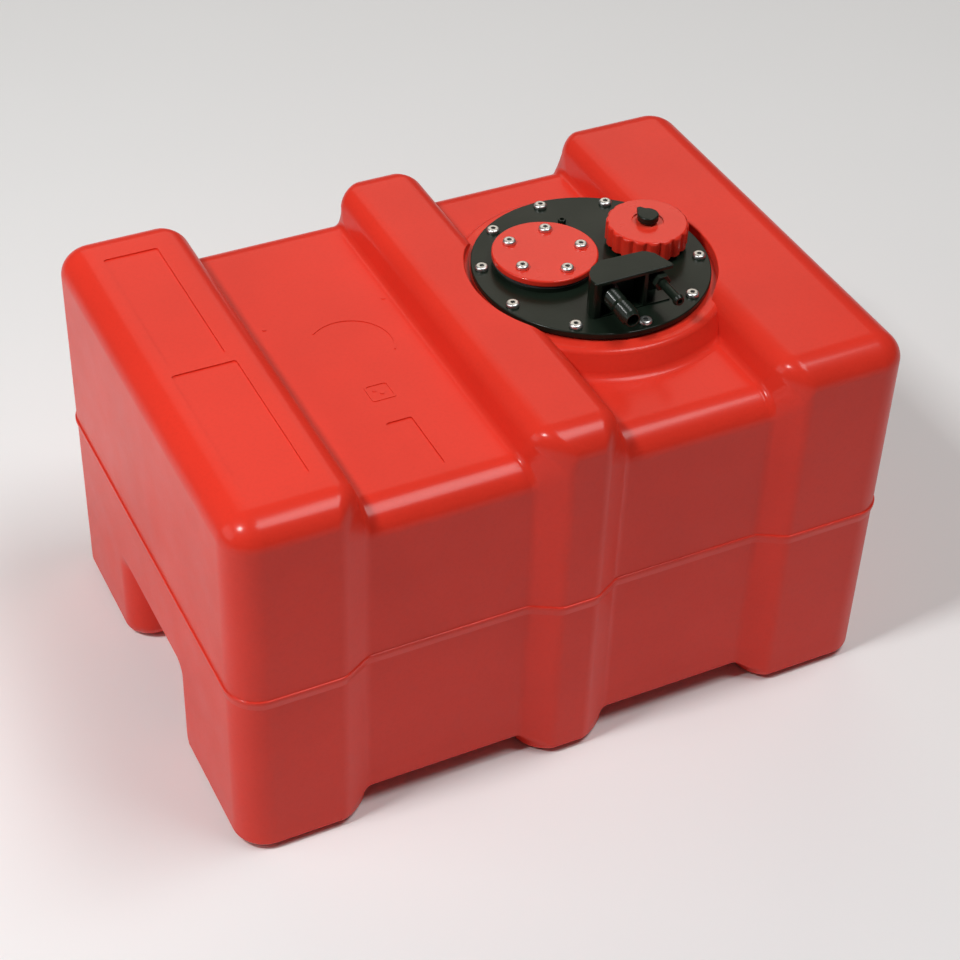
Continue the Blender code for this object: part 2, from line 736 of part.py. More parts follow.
def make_screw_mesh(length):
    """Button head screw with a hexagon socket, its head's underside at the origin."""
    profile = [
        (0, HEAD_HEIGHT),
        (HEAD_CROWN_RADIUS, HEAD_HEIGHT),
        (HEAD_RADIUS, HEAD_RIM),
        (HEAD_RADIUS, 0),
        (SHANK_RADIUS, 0),
        (SHANK_RADIUS, -length),
        (0, -length),
    ]
    source = turned("screw_form", profile, HEAD_SEGMENTS)
    socket = cylinder("socket", SOCKET_RADIUS, HEAD_HEIGHT - SOCKET_DEPTH, HEAD_HEIGHT + OVERRUN, 6)
    cut(source, socket)
    mesh = evaluated_mesh(source)
    bpy.data.objects.remove(source)
    bpy.data.objects.remove(socket)
    return mesh


def make_fasteners(screw_name, insert_name, places, head_level, insert_level, screw_length, insert_length):
    """Screws and inserts at each place, sharing one mesh of each kind."""
    screw_mesh = make_screw_mesh(screw_length)
    insert_mesh = make_insert_mesh(insert_length)
    for index, place in enumerate(places, start=1):
        screw = add_object(f"{screw_name}_{index:02d}", screw_mesh, STAINLESS)
        screw.location = (place.x, place.y, head_level)
        screw.rotation_euler.z = index * SCREW_TURN
        insert = add_object(f"{insert_name}_{index:02d}", insert_mesh, BRASS_METAL)
        insert.location = (place.x, place.y, insert_level)


def make_gasket(name, centre, outer, inner, bottom, thickness, places):
    """Flat ring gasket with a hole for each screw."""
    top = bottom + thickness
    profile = [(inner, top), (outer, top), (outer, bottom), (inner, bottom)]
    ring = turned(name, profile, ROUND_SEGMENTS, RUBBER, centre)
    holes = ring_of_cylinders(
        name + "_holes", SHANK_HOLE_RADIUS, bottom - OVERRUN, top + OVERRUN, places, HEAD_SEGMENTS
    )
    cut(ring, holes)
    return ring


def plate_profile():
    """Plate disc with a chamfered rim and a spigot below that drops into the tank's opening."""
    spigot_bottom = PLATE_BOTTOM - SPIGOT_HEIGHT
    return [
        (0, PLATE_TOP),
        (PLATE_RADIUS - PLATE_EDGE, PLATE_TOP),
        (PLATE_RADIUS, PLATE_TOP - PLATE_EDGE),
        (PLATE_RADIUS, PLATE_BOTTOM),
        (SPIGOT_RADIUS, PLATE_BOTTOM),
        (SPIGOT_RADIUS, spigot_bottom),
        (SPIGOT_RADIUS - SPIGOT_WALL, spigot_bottom),
        (SPIGOT_RADIUS - SPIGOT_WALL, PLATE_BOTTOM),
        (0, PLATE_BOTTOM),
    ]


def make_hood():
    """Keystone hood with two cells open at the front, for the plate to be joined with."""
    bottom = PLATE_BOTTOM + PLATE_THICKNESS / 2
    outline = [(FLANGE_X + PLATE_RADIUS * x, PLATE_RADIUS * y) for x, y in HOOD_OUTLINE_SHARES]
    hood = prism("hood", rounded(outline, HOOD_CORNER), bottom, HOOD_TOP, HOOD_EDGE)
    low = PLATE_TOP + HOOD_FLOOR
    high = HOOD_TOP - HOOD_ROOF
    half_wall = HOOD_WALL / 2
    right, front = outline[1]
    front -= OVERRUN
    left_cell = box(
        "left_cell", (HOOD_CELL_X, front, low), (PARTITION_X - half_wall, HOOD_PORT_FACE, high)
    )
    right_cell = box(
        "right_cell", (PARTITION_X + half_wall, front, low), (right + OVERRUN, HOOD_PORT_FACE, high)
    )
    cut(hood, left_cell)
    cut(hood, right_cell)
    return hood


def tail_passage(name, x, height, port_radius, port_depth):
    """Port in the hood's back wall, and a passage from it down through the plate."""
    level = PLATE_TOP + height
    port = cylinder(name + "_port", port_radius, -OVERRUN, port_depth, SMALL_SEGMENTS)
    port.location = (x, HOOD_PORT_FACE + (port_depth - OVERRUN) / 2, level)
    port.rotation_euler.x = math.radians(90)
    bottom = PLATE_BOTTOM - SPIGOT_HEIGHT - OVERRUN
    drop = cylinder(name + "_drop", PASSAGE_RADIUS, bottom, level, SMALL_SEGMENTS, (x, PASSAGE_Y, 0))
    return port, drop


def make_plate():
    """Flange plate: disc, sender boss, filler neck, hood, peg and the socket of the pickup tube."""
    plate = turned("flange_plate", plate_profile(), ROUND_SEGMENTS, BLACK_PLASTIC, FLANGE_CENTRE)
    middle = PLATE_BOTTOM + PLATE_THICKNESS / 2
    boss = cylinder("cover_boss", COVER_BOSS_RADIUS, middle, COVER_BOSS_TOP, ROUND_SEGMENTS, COVER_CENTRE)
    neck = cylinder("filler_neck", NECK_RADIUS, middle, NECK_TOP, ROUND_SEGMENTS, CAP_CENTRE)
    peg = cylinder("peg", PEG_RADIUS, middle, PLATE_TOP + PEG_HEIGHT, SMALL_SEGMENTS, PEG_PLACE)
    socket_radius = PICKUP_RADIUS + CLEARANCE + SOCKET_WALL
    socket_low = PLATE_BOTTOM - SPIGOT_HEIGHT
    socket_place = (FUEL_X, PASSAGE_Y, 0)
    socket = cylinder("pickup_socket", socket_radius, socket_low, middle, SMALL_SEGMENTS, socket_place)
    for piece in (boss, neck, make_hood(), peg, socket):
        join(plate, piece)
    low = PLATE_BOTTOM - OVERRUN
    dimple_low = PLATE_TOP + PEG_HEIGHT - PEG_DIMPLE_DEPTH
    dimple_high = PLATE_TOP + PEG_HEIGHT + OVERRUN
    cut(plate, cylinder("peg_dimple", PEG_DIMPLE_RADIUS, dimple_low, dimple_high, HEAD_SEGMENTS, PEG_PLACE))
    bore_low = PLATE_BOTTOM - SPIGOT_HEIGHT - OVERRUN
    bore_high = NECK_TOP + OVERRUN
    cut(plate, cylinder("neck_bore", NECK_BORE_RADIUS, bore_low, bore_high, ROUND_SEGMENTS, CAP_CENTRE))
    sender_high = COVER_BOSS_TOP + OVERRUN
    cut(plate, cylinder("sender_hole", SENDER_HOLE_RADIUS, low, sender_high, ROUND_SEGMENTS, COVER_CENTRE))
    high = PLATE_TOP + OVERRUN
    holes = ring_of_cylinders(
        "plate_holes", SHANK_HOLE_RADIUS, low, high, FLANGE_SCREW_PLACES, HEAD_SEGMENTS
    )
    cut(plate, holes)
    pocket_low = COVER_BOSS_TOP - COVER_INSERT_LENGTH - 2 * CLEARANCE
    pocket_radius = INSERT_RADIUS + CLEARANCE
    pockets = ring_of_cylinders(
        "cover_pockets", pocket_radius, pocket_low, sender_high, COVER_SCREW_PLACES, SMALL_SEGMENTS
    )
    cut(plate, pockets)
    breather_port = BREATHER_SHANK_LENGTH + 2 * CLEARANCE
    fuel_port = FUEL_SHANK_LENGTH + 2 * CLEARANCE
    breather_hole = BREATHER_SHANK_RADIUS + CLEARANCE
    fuel_hole = FUEL_SHANK_RADIUS + CLEARANCE
    for tool in tail_passage("breather", BREATHER_X, BREATHER_HEIGHT, breather_hole, breather_port):
        cut(plate, tool)
    for tool in tail_passage("fuel", FUEL_X, FUEL_HEIGHT, fuel_hole, fuel_port):
        cut(plate, tool)
    tube_hole_high = socket_low + PICKUP_SOCKET_DEPTH
    tube_hole = PICKUP_RADIUS + CLEARANCE
    cut(
        plate,
        cylinder("tube_hole", tube_hole, socket_low - OVERRUN, tube_hole_high, SMALL_SEGMENTS, socket_place),
    )
    return plate


def make_cover():
    """Red disc over the sender's hole, with its five screw holes."""
    profile = [
        (0, COVER_TOP),
        (COVER_RADIUS - COVER_EDGE, COVER_TOP),
        (COVER_RADIUS - COVER_SHOULDER, COVER_TOP - COVER_SHOULDER),
        (COVER_RADIUS, COVER_TOP - COVER_EDGE),
        (COVER_RADIUS, COVER_BOTTOM),
        (0, COVER_BOTTOM),
    ]
    cover = turned("sender_cover", profile, ROUND_SEGMENTS, RED_PLASTIC, COVER_CENTRE)
    holes = ring_of_cylinders(
        "cover_holes",
        SHANK_HOLE_RADIUS,
        COVER_BOTTOM - OVERRUN,
        COVER_TOP + OVERRUN,
        COVER_SCREW_PLACES,
        HEAD_SEGMENTS,
    )
    cut(cover, holes)
    return cover


def lobed_radius(angle, radius):
    """Radius of the cap's skirt: broad lobes with a narrow flute between each two."""
    wave = (1 + math.cos(CAP_LOBES * angle)) / 2
    return radius - LOBE_DEPTH * wave**3


def make_cap():
    """Filler cap: a lobed skirt with a rounded top edge, hollow below, with the vent's hole."""
    count = CAP_LOBES * POINTS_PER_LOBE
    levels = [(CAP_BOTTOM, 0, 1)]
    for step in range(ARC_STEPS + 1):
        angle = math.radians(90) * step / ARC_STEPS
        draw_in = CAP_EDGE_RADIUS * (1 - math.cos(angle))
        rise = CAP_TOP - CAP_EDGE_RADIUS * (1 - math.sin(angle))
        levels.append((rise, draw_in, 1 - step / ARC_STEPS))
    build = bmesh.new()
    loops = []
    for level, draw_in, lobe_share in levels:
        loop = []
        for index in range(count):
            angle = math.tau * index / count
            full = CAP_RADIUS - draw_in
            radius = full - (CAP_RADIUS - lobed_radius(angle, CAP_RADIUS)) * lobe_share
            loop.append(build.verts.new((radius * math.cos(angle), radius * math.sin(angle), level)))
        loops.append(loop)
    for lower, upper in zip(loops, loops[1:]):
        for index in range(count):
            following = (index + 1) % count
            build.faces.new((lower[index], lower[following], upper[following], upper[index]))
    build.faces.new(loops[0])
    build.faces.new(loops[-1])
    cap = add_object("filler_cap", mesh_from(build, "filler_cap"), RED_PLASTIC)
    cap.location = CAP_CENTRE
    inside = NECK_RADIUS + THREAD_GAP
    cut(cap, cylinder("cap_inside", inside, CAP_BOTTOM - OVERRUN, CAP_CEILING, ROUND_SEGMENTS, CAP_CENTRE))
    dish_low = CAP_TOP - DISH_DEPTH
    cut(cap, cylinder("cap_dish", DISH_RADIUS, dish_low, CAP_TOP + OVERRUN, ROUND_SEGMENTS, CAP_CENTRE))
    hole = VENT_SHAFT_RADIUS + CLEARANCE
    cut(cap, cylinder("vent_hole", hole, CAP_BOTTOM, CAP_TOP + OVERRUN, SMALL_SEGMENTS, CAP_CENTRE))
    return cap


def make_ring(name, centre, outer, inner, bottom, thickness, material):
    """Plain flat sealing ring."""
    top = bottom + thickness
    profile = [(inner, top), (outer, top), (outer, bottom), (inner, bottom)]
    return turned(name, profile, RING_SEGMENTS, material, centre)


def make_vent():
    """Vent screw: knob with a pointer, shaft and the disc that holds it in the cap, and its O-ring."""
    seat = CAP_TOP - DISH_DEPTH + CLEARANCE
    knob_low = seat + VENT_SEAL_THICKNESS + CLEARANCE
    knob_high = knob_low + VENT_HEIGHT
    shaft_low = knob_low - VENT_SHAFT_LENGTH
    disc_high = shaft_low + VENT_DISC_THICKNESS
    edge = VENT_EDGE
    profile = [
        (0, knob_high),
        (VENT_RADIUS - edge, knob_high),
        (VENT_RADIUS, knob_high - edge),
        (VENT_RADIUS, knob_low),
        (VENT_SHAFT_RADIUS, knob_low),
        (VENT_SHAFT_RADIUS, disc_high),
        (VENT_DISC_RADIUS, disc_high),
        (VENT_DISC_RADIUS, shaft_low),
        (0, shaft_low),
    ]
    knob = turned("vent_screw", profile, RING_SEGMENTS, BLACK_PLASTIC, CAP_CENTRE)
    tangent = math.acos((VENT_RADIUS - VENT_POINTER_RADIUS) / VENT_POINTER_LENGTH)
    reach = VENT_POINTER_LENGTH - VENT_POINTER_RADIUS
    tip = arc((reach, 0), VENT_POINTER_RADIUS, -math.degrees(tangent), math.degrees(tangent), ARC_STEPS)
    root = VENT_RADIUS - edge
    flank = (root * math.cos(tangent), root * math.sin(tangent))
    outline = [(flank[0], -flank[1])] + tip + [flank, (-edge, 0)]
    pointer = prism("vent_pointer", outline, knob_low + edge, knob_high - edge / 2)
    pointer.location = CAP_CENTRE
    pointer.rotation_euler.z = VENT_POINTER_ANGLE
    join(knob, pointer)
    inner = VENT_SHAFT_RADIUS + CLEARANCE
    make_ring(
        "vent_seal", CAP_CENTRE, inner + VENT_SEAL_WIDTH, inner, seat, VENT_SEAL_THICKNESS, RUBBER
    )
    return knob


def lay_forward(item, x, level):
    """Lay a piece turned about Z so that its top points to -Y, from the hood's port face."""
    item.location = (x, HOOD_PORT_FACE, level)
    item.rotation_euler.x = math.radians(90)


def make_breather():
    """Breather hose tail: shank, collar, neck and two groups of ribs, with its sealing ring."""
    level = PLATE_TOP + BREATHER_HEIGHT
    collar_low = 2 * CLEARANCE + TAIL_SEAL_THICKNESS
    collar_high = collar_low + BREATHER_COLLAR_LENGTH
    edge = BREATHER_EDGE
    outside = [
        (BREATHER_SHANK_RADIUS, -BREATHER_SHANK_LENGTH),
        (BREATHER_SHANK_RADIUS, collar_low),
        (BREATHER_COLLAR_RADIUS, collar_low),
        (BREATHER_COLLAR_RADIUS, collar_high - edge),
        (BREATHER_COLLAR_RADIUS - edge, collar_high),
        (BREATHER_ROOT_RADIUS, collar_high),
    ]
    place = collar_high + BREATHER_NECK_LENGTH
    for group in range(2):
        for rib in range(RIB_COUNT):
            outside.append((BREATHER_ROOT_RADIUS, place))
            outside.append((BREATHER_RADIUS, place + RIB_PITCH * RIB_RISE_SHARE))
            place += RIB_PITCH
        outside.append((BREATHER_ROOT_RADIUS, place))
        place += RIB_GROUP_GAP if group == 0 else BREATHER_TIP_LENGTH
    outside.append((BREATHER_BORE + edge, place))
    inside = [
        (BREATHER_SHANK_BORE, -BREATHER_SHANK_LENGTH),
        (BREATHER_SHANK_BORE, collar_low),
        (BREATHER_BORE, collar_high),
        (BREATHER_BORE, place),
    ]
    profile = outside[::-1] + inside
    tail = turned("breather_tail", profile, SMALL_SEGMENTS, BLACK_PLASTIC)
    lay_forward(tail, BREATHER_X, level)
    seal = make_ring(
        "breather_seal",
        (0, 0, 0),
        BREATHER_SEAL_RADIUS,
        BREATHER_SEAL_BORE,
        CLEARANCE,
        TAIL_SEAL_THICKNESS,
        RUBBER,
    )
    lay_forward(seal, BREATHER_X, level)
    return tail


def make_fuel_tail():
    """Fuel hose tail: shank, collar, hexagon, tube and flared tip, with its sealing ring."""
    level = PLATE_TOP + FUEL_HEIGHT
    collar_low = 2 * CLEARANCE + TAIL_SEAL_THICKNESS
    collar_high = collar_low + FUEL_COLLAR_LENGTH
    hex_high = collar_high + FUEL_HEX_LENGTH
    flare_low = hex_high + FUEL_TUBE_LENGTH - FUEL_FLARE_LENGTH
    flare_high = flare_low + FUEL_FLARE_LENGTH
    edge = FUEL_FLARE_EDGE
    outside = [
        (FUEL_SHANK_RADIUS, -FUEL_SHANK_LENGTH),
        (FUEL_SHANK_RADIUS, collar_low),
        (FUEL_COLLAR_RADIUS, collar_low),
        (FUEL_COLLAR_RADIUS, (collar_high + hex_high) / 2),
        (FUEL_RADIUS, (collar_high + hex_high) / 2),
        (FUEL_RADIUS, flare_low),
        (FUEL_FLARE_RADIUS, flare_low + edge),
        (FUEL_FLARE_RADIUS, flare_high - 2 * edge),
        (FUEL_RADIUS, flare_high),
    ]
    profile = outside[::-1] + [(FUEL_BORE, -FUEL_SHANK_LENGTH), (FUEL_BORE, flare_high)]
    tail = turned("fuel_tail", profile, SMALL_SEGMENTS, BLACK_PLASTIC)
    lay_forward(tail, FUEL_X, level)
    nut = cylinder("fuel_hex", FUEL_HEX_RADIUS, collar_high, hex_high, 6)
    chamfer = nut.modifiers.new("edges", "BEVEL")
    chamfer.width = FUEL_HEX_EDGE
    chamfer.segments = 1
    low = collar_high - OVERRUN
    bore = cylinder("fuel_hex_bore", FUEL_HEX_BORE, low, hex_high + OVERRUN, SMALL_SEGMENTS)
    cut(nut, bore)
    for piece in (nut, bore):
        middle = (collar_high + hex_high) / 2
        piece.location = (FUEL_X, HOOD_PORT_FACE - middle, level)
        piece.rotation_euler.x = math.radians(90)
    join(tail, nut)
    inner = FUEL_SHANK_RADIUS + CLEARANCE
    outer = FUEL_COLLAR_RADIUS
    seal = make_ring("fuel_seal", (0, 0, 0), outer, inner, CLEARANCE, TAIL_SEAL_THICKNESS, RUBBER)
    lay_forward(seal, FUEL_X, level)
    return tail


def make_pickup():
    """Pickup tube from the plate's socket down to a slotted strainer over the tank's floor."""
    socket_top = PLATE_BOTTOM - SPIGOT_HEIGHT + PICKUP_SOCKET_DEPTH - CLEARANCE
    strainer_low = TANK_FLOOR_IN_CHANNEL + STRAINER_FLOOR_GAP
    strainer_high = strainer_low + STRAINER_HEIGHT
    tube_low = strainer_high - PICKUP_ENTRY
    place = (FUEL_X, PASSAGE_Y, 0)
    tube_profile = [
        (PICKUP_BORE, socket_top),
        (PICKUP_RADIUS, socket_top),
        (PICKUP_RADIUS, tube_low),
        (PICKUP_BORE, tube_low),
    ]
    turned("pickup_tube", tube_profile, SMALL_SEGMENTS, BLACK_PLASTIC, place)
    collar = PICKUP_RADIUS + CLEARANCE
    inner = STRAINER_RADIUS - STRAINER_WALL
    ledge = tube_low - CLEARANCE
    floor = strainer_low + STRAINER_WALL
    cage_profile = [
        (collar, strainer_high),
        (STRAINER_RADIUS, strainer_high),
        (STRAINER_RADIUS, strainer_low),
        (0, strainer_low),
        (0, floor),
        (inner, floor),
        (inner, ledge - STRAINER_WALL),
        (PICKUP_BORE, ledge),
        (collar, ledge),
    ]
    cage = cage_profile[2:] + cage_profile[:2]
    strainer = turned("pickup_strainer", cage, SMALL_SEGMENTS, FILTER_PLASTIC, place)
    for index in range(STRAINER_SLOTS // 2):
        half = STRAINER_SLOT_WIDTH / 2
        reach = STRAINER_RADIUS + OVERRUN
        slot = box(
            f"strainer_slot_{index}",
            (-reach, -half, floor + STRAINER_WALL),
            (reach, half, ledge - STRAINER_BAND),
        )
        slot.location = place
        slot.rotation_euler.z = index * math.tau / STRAINER_SLOTS
        cut(strainer, slot)


clear_scene()
PARTS = new_collection("fuel_tank")
CUTTERS = new_collection("cutters")
RED_PLASTIC = plastic("red_polyethylene", RED, 0.32)
BLACK_PLASTIC = plastic("black_nylon", BLACK, 0.38)
RUBBER = plastic("seal_rubber", GREY_RUBBER, 0.75)
STAINLESS = plastic("stainless_steel", STEEL, 0.28, 1.0)
BRASS_METAL = plastic("brass", BRASS, 0.35, 1.0)
FILTER_PLASTIC = plastic("strainer_plastic", FILTER, 0.6)
FLANGE_SCREW_PLACES = on_circle(FLANGE_CENTRE, SCREW_CIRCLE_RADIUS, SCREW_COUNT, SCREW_FIRST_ANGLE)
COVER_SCREW_PLACES = on_circle(COVER_CENTRE, COVER_CIRCLE_RADIUS, COVER_SCREW_COUNT, COVER_FIRST_ANGLE)

make_tank()
gasket_inner = OPENING_RADIUS + 2 * CLEARANCE
make_gasket(
    "flange_gasket",
    FLANGE_CENTRE,
    GASKET_RADIUS,
    gasket_inner,
    GASKET_BOTTOM,
    GASKET_THICKNESS,
    FLANGE_SCREW_PLACES,
)
make_plate()
make_fasteners(
    "flange_screw",
    "flange_insert",
    FLANGE_SCREW_PLACES,
    PLATE_TOP + CLEARANCE,
    SEAT_LEVEL - CLEARANCE,
    FLANGE_SCREW_LENGTH,
    INSERT_LENGTH,
)
make_gasket(
    "sender_gasket",
    COVER_CENTRE,
    COVER_GASKET_RADIUS,
    SENDER_HOLE_RADIUS + 2 * CLEARANCE,
    COVER_GASKET_BOTTOM,
    COVER_GASKET_THICKNESS,
    COVER_SCREW_PLACES,
)
make_cover()
make_fasteners(
    "cover_screw",
    "cover_insert",
    COVER_SCREW_PLACES,
    COVER_TOP + CLEARANCE,
    COVER_BOSS_TOP - CLEARANCE,
    COVER_SCREW_LENGTH,
    COVER_INSERT_LENGTH,
)
make_cap()
make_ring(
    "cap_seal",
    CAP_CENTRE,
    NECK_RADIUS,
    NECK_RADIUS - CAP_SEAL_WIDTH,
    NECK_TOP + CLEARANCE,
    CAP_SEAL_THICKNESS,
    RUBBER,
)
make_vent()
make_breather()
make_fuel_tail()
make_pickup()
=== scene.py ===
"""Looks of the moulded fuel tank with its round service flange.

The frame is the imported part, in metres: X runs along the tank's length, the front, where the hose
tails point, faces -Y, and the base lies at z = 0.
"""

import math

import bmesh
import bpy
from mathutils import Matrix, Vector


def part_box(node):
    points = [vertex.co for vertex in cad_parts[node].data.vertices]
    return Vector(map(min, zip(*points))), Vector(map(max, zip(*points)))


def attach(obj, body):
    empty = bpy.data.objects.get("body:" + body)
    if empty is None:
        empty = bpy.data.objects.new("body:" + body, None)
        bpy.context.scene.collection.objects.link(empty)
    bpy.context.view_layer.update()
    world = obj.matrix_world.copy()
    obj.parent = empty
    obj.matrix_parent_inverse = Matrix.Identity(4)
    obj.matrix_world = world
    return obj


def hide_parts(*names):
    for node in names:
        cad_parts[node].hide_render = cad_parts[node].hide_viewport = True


# Tank
TANK_LENGTH = 0.500
TANK_WIDTH = 0.350
TANK_HEIGHT = 0.292
WALL = 0.0055
PLAN_RADIUS = 0.024
TOP_RADIUS = 0.0195
BASE_RADIUS = 0.0075
SIDE_FLOORS = ((-0.150, -0.038), (0.037, 0.143))
TOP_FLOORS = ((-0.149, -0.043), (0.036, 0.143))
BASE_FLOORS = ((-0.146, -0.038), (0.043, 0.1485))
# Width, depth, shoulder radius and foot radius of the channels' flanks
SIDE_FLANK = (0.028, 0.0115, 0.015, 0.013)
TOP_FLANK = (0.0228, 0.0258, 0.0163, 0.005)
BASE_FLANK = (0.0135, 0.0124, 0.009, 0.003)

# Seam bead
BEAD_TOP = 0.1463
BEAD_HEIGHT = 0.008
BEAD_PROUD = 0.0011
BEAD_CREST = 0.0026
BEAD_EDGE = 0.0008
LOWER_INSET = 0.0002

# Carrying grips
GRIP_HEIGHT = 0.078
GRIP_HALF_WIDTH = 0.047
GRIP_OFFSET = 0.005
GRIP_DEPTH = 0.062
GRIP_MOUTH_RADIUS = 0.022
GRIP_LIP_RADIUS = 0.006
GRIP_CORNER_RADIUS = 0.012
GRIP_FOOT_RADIUS = 0.014
GRIP_FOOT_TURN = (260, 180)
GRIP_BACK_RADIUS = 0.012

# Seat of the flange
FLANGE_X = 0.0912
SEAT_LEVEL = 0.2843
RECESS_LEVEL = 0.2662
SEAT_RADIUS = 0.098
MOAT_RADIUS = 0.090
SEAT_LIP_RADIUS = 0.0012
SEAT_EDGE_RADIUS = 0.005
SEAT_EDGE_TURN = (90, 15)
SEAT_ROOT_RADIUS = 0.008
SEAT_ROOT_TURN = (195, 260)
SEAT_FLARE = 0.004
SEAT_SKIM = 0.00005
SEAT_SINK = 0.0005
OPENING_RADIUS = 0.065

# Shallow moulded panels and marks on the left band and on the floor of the left channel: the
# panels' low and high corners, and how deep they lie
PANEL_DEPTH = 0.0010
PANEL_CORNER = 0.002
BAND_PANELS = (((-0.2235, 0.002), (-0.1835, 0.137)), ((-0.2255, -0.135), (-0.1800, -0.008)))
FLOOR_PANEL = ((-0.1040, -0.133), (-0.0850, -0.080))
MARK_HEIGHT = 0.0005
MARK_WIDTH = 0.0012
RING_MARK_PLACE = (-0.0905, 0.007)
RING_MARK_RADIUS = 0.030
RING_MARK_ENDS = (-30, 130)
SQUARE_MARK_PLACE = (-0.0935, -0.0475)
SQUARE_MARK_HALF = 0.0088
DOT_MARK_RADIUS = 0.0016
DOT_MARK_PLACES = ((-0.1387, 0.0485), (-0.0474, 0.0506), (-0.0925, -0.0490), (-0.0965, -0.0450))

# Flange plate
CLEARANCE = 0.0003
PLATE_RADIUS = 0.0855
PLATE_BOTTOM = 0.2861
PLATE_TOP = 0.2906
PLATE_EDGE = 0.0008
SPIGOT_RADIUS = 0.0625
SPIGOT_WALL = 0.004
SPIGOT_HEIGHT = 0.011
SHANK_HOLE_RADIUS = 0.0028
SHANK_RADIUS = 0.0022

# Sender cover, its boss and its gasket
COVER_CENTRE = (0.0606765, 0.0130815)
COVER_RADIUS = 0.0378765
COVER_BOSS_RADIUS = 0.0368765
COVER_BOSS_TOP = 0.2936
COVER_GASKET_RADIUS = 0.0371765
COVER_GASKET_BOTTOM = 0.2939
COVER_GASKET_TOP = 0.2954
COVER_BOTTOM = 0.2957
COVER_TOP = 0.3007
COVER_EDGE = 0.0012
SENDER_HOLE_RADIUS = 0.0199765

# Filler neck and cap
CAP_CENTRE = (0.1388235, 0.005985)
CAP_RADIUS = 0.029583
CAP_BOTTOM = 0.2942
CAP_TOP = 0.3100
CAP_CEILING = 0.3070
CAP_INSIDE_RADIUS = 0.023583
NECK_RADIUS = 0.023183
NECK_BORE_RADIUS = 0.017783
NECK_TOP = 0.3044
CAP_LOBES = 18
LOBE_DEPTH = 0.0018
CAP_EDGE_RADIUS = 0.0022
DISH_RADIUS = 0.0115
DISH_DEPTH = 0.0008

# Vent screw
VENT_LOW = 0.3110
VENT_HEIGHT = 0.0052
VENT_RADIUS = 0.0077
VENT_SHAFT_RADIUS = 0.0030
VENT_SHAFT_LENGTH = 0.0090
VENT_DISC_RADIUS = 0.0100
VENT_DISC_THICKNESS = 0.0030
VENT_POINTER_LENGTH = 0.0115
VENT_POINTER_RADIUS = 0.0018
VENT_POINTER_ANGLE = math.radians(101)
VENT_EDGE = 0.0010

# Hood over the hose tails, in shares of the plate's radius from its centre
HOOD_OUTLINE_SHARES = (
    (-0.371, -0.719),
    (0.363, -0.719),
    (0.284, -0.509),
    (0.220, -0.447),
    (-0.178, -0.428),
    (-0.283, -0.485),
    (-0.336, -0.550),
    (-0.365, -0.632),
)
HOOD_TOP = 0.3196
HOOD_ROOF = 0.0026
HOOD_WALL = 0.0028
HOOD_FLOOR = 0.0010
HOOD_EDGE = 0.0010
HOOD_CORNER = 0.0020
HOOD_CELL_X = 0.0651225
HOOD_PORT_FACE = -0.047538
PARTITION_X = 0.1000065

# Peg on the plate
PEG_PLACE = (0.095133, 0.0524115)
PEG_RADIUS = 0.0030
PEG_HEIGHT = 0.0042
PEG_DIMPLE_RADIUS = 0.0017
PEG_DIMPLE_DEPTH = 0.0020

# Hose tails
TAIL_GAP = 0.0018
BREATHER_X = 0.0736725
BREATHER_LEVEL = 0.3056
BREATHER_SHANK_RADIUS = 0.0042
BREATHER_SHANK_BORE = 0.0030
BREATHER_COLLAR_RADIUS = 0.00815
BREATHER_COLLAR_LENGTH = 0.0070
BREATHER_RADIUS = 0.00685
BREATHER_ROOT_RADIUS = 0.00585
BREATHER_BORE = 0.00435
BREATHER_NECK_LENGTH = 0.0030
BREATHER_TIP_LENGTH = 0.0032
BREATHER_EDGE = 0.0007
RIB_PITCH = 0.0025
RIB_COUNT = 5
RIB_GROUP_GAP = 0.0032
RIB_RISE_SHARE = 0.2
SHANK_LENGTH = 0.0040
FUEL_X = 0.111549
FUEL_LEVEL = 0.3084
FUEL_RADIUS = 0.0032
FUEL_BORE = 0.0018
FUEL_SHANK_RADIUS = 0.0034
FUEL_COLLAR_RADIUS = 0.0050
FUEL_COLLAR_LENGTH = 0.0060
FUEL_HEX_RADIUS = 0.0065
FUEL_HEX_BORE = 0.0026
FUEL_HEX_LENGTH = 0.0090
FUEL_HEX_EDGE = 0.0005
FUEL_TUBE_LENGTH = 0.0235
FUEL_FLARE_RADIUS = 0.0042
FUEL_FLARE_LENGTH = 0.0042
FUEL_FLARE_EDGE = 0.0010
PASSAGE_RADIUS = 0.0022

# Screw heads
SCREW_COUNT = 10
COVER_SCREW_COUNT = 5
SCREW_TURN = math.radians(57)
FLANGE_SCREW_LENGTH = 0.016
COVER_SCREW_LENGTH = 0.012
HEAD_RADIUS = 0.0047
HEAD_HEIGHT = 0.0028
HEAD_RIM = 0.0010
HEAD_CROWN_RADIUS = 0.0030
SOCKET_RADIUS = 0.0018
SOCKET_DEPTH = 0.0016

# Corner radii of mouldings and of turned metal, and how far a cutter runs past what it cuts
SOFT_EDGE = 0.0005
FINE_EDGE = 0.0002
OVERRUN = 0.002

# Steps and segments
BEND_STEPS = 9
FLANK_STEPS = 9
ARC_STEPS = 8
SOFT_STEPS = 3
RIM_STEPS = 4
HOOD_SOFT_STEPS = 2
ROUND_PROFILE = 0.5
HEX_SIDES = 6
WIDE_SEGMENTS = 144
ROUND_SEGMENTS = 96
SMALL_SEGMENTS = 48
POINTS_PER_LOBE = 10
SHARP_ANGLE = math.radians(32)
# Half a corner's angle from which a line counts as straight, and the radius of a point on the axis
STRAIGHT_HALF = math.radians(88)
AXIS_RADIUS = 0.000002

# Detail of the noises
SMOOTH_DETAIL = 1.0
LOW_DETAIL = 2.0
MEDIUM_DETAIL = 3.0
HIGH_DETAIL = 4.0

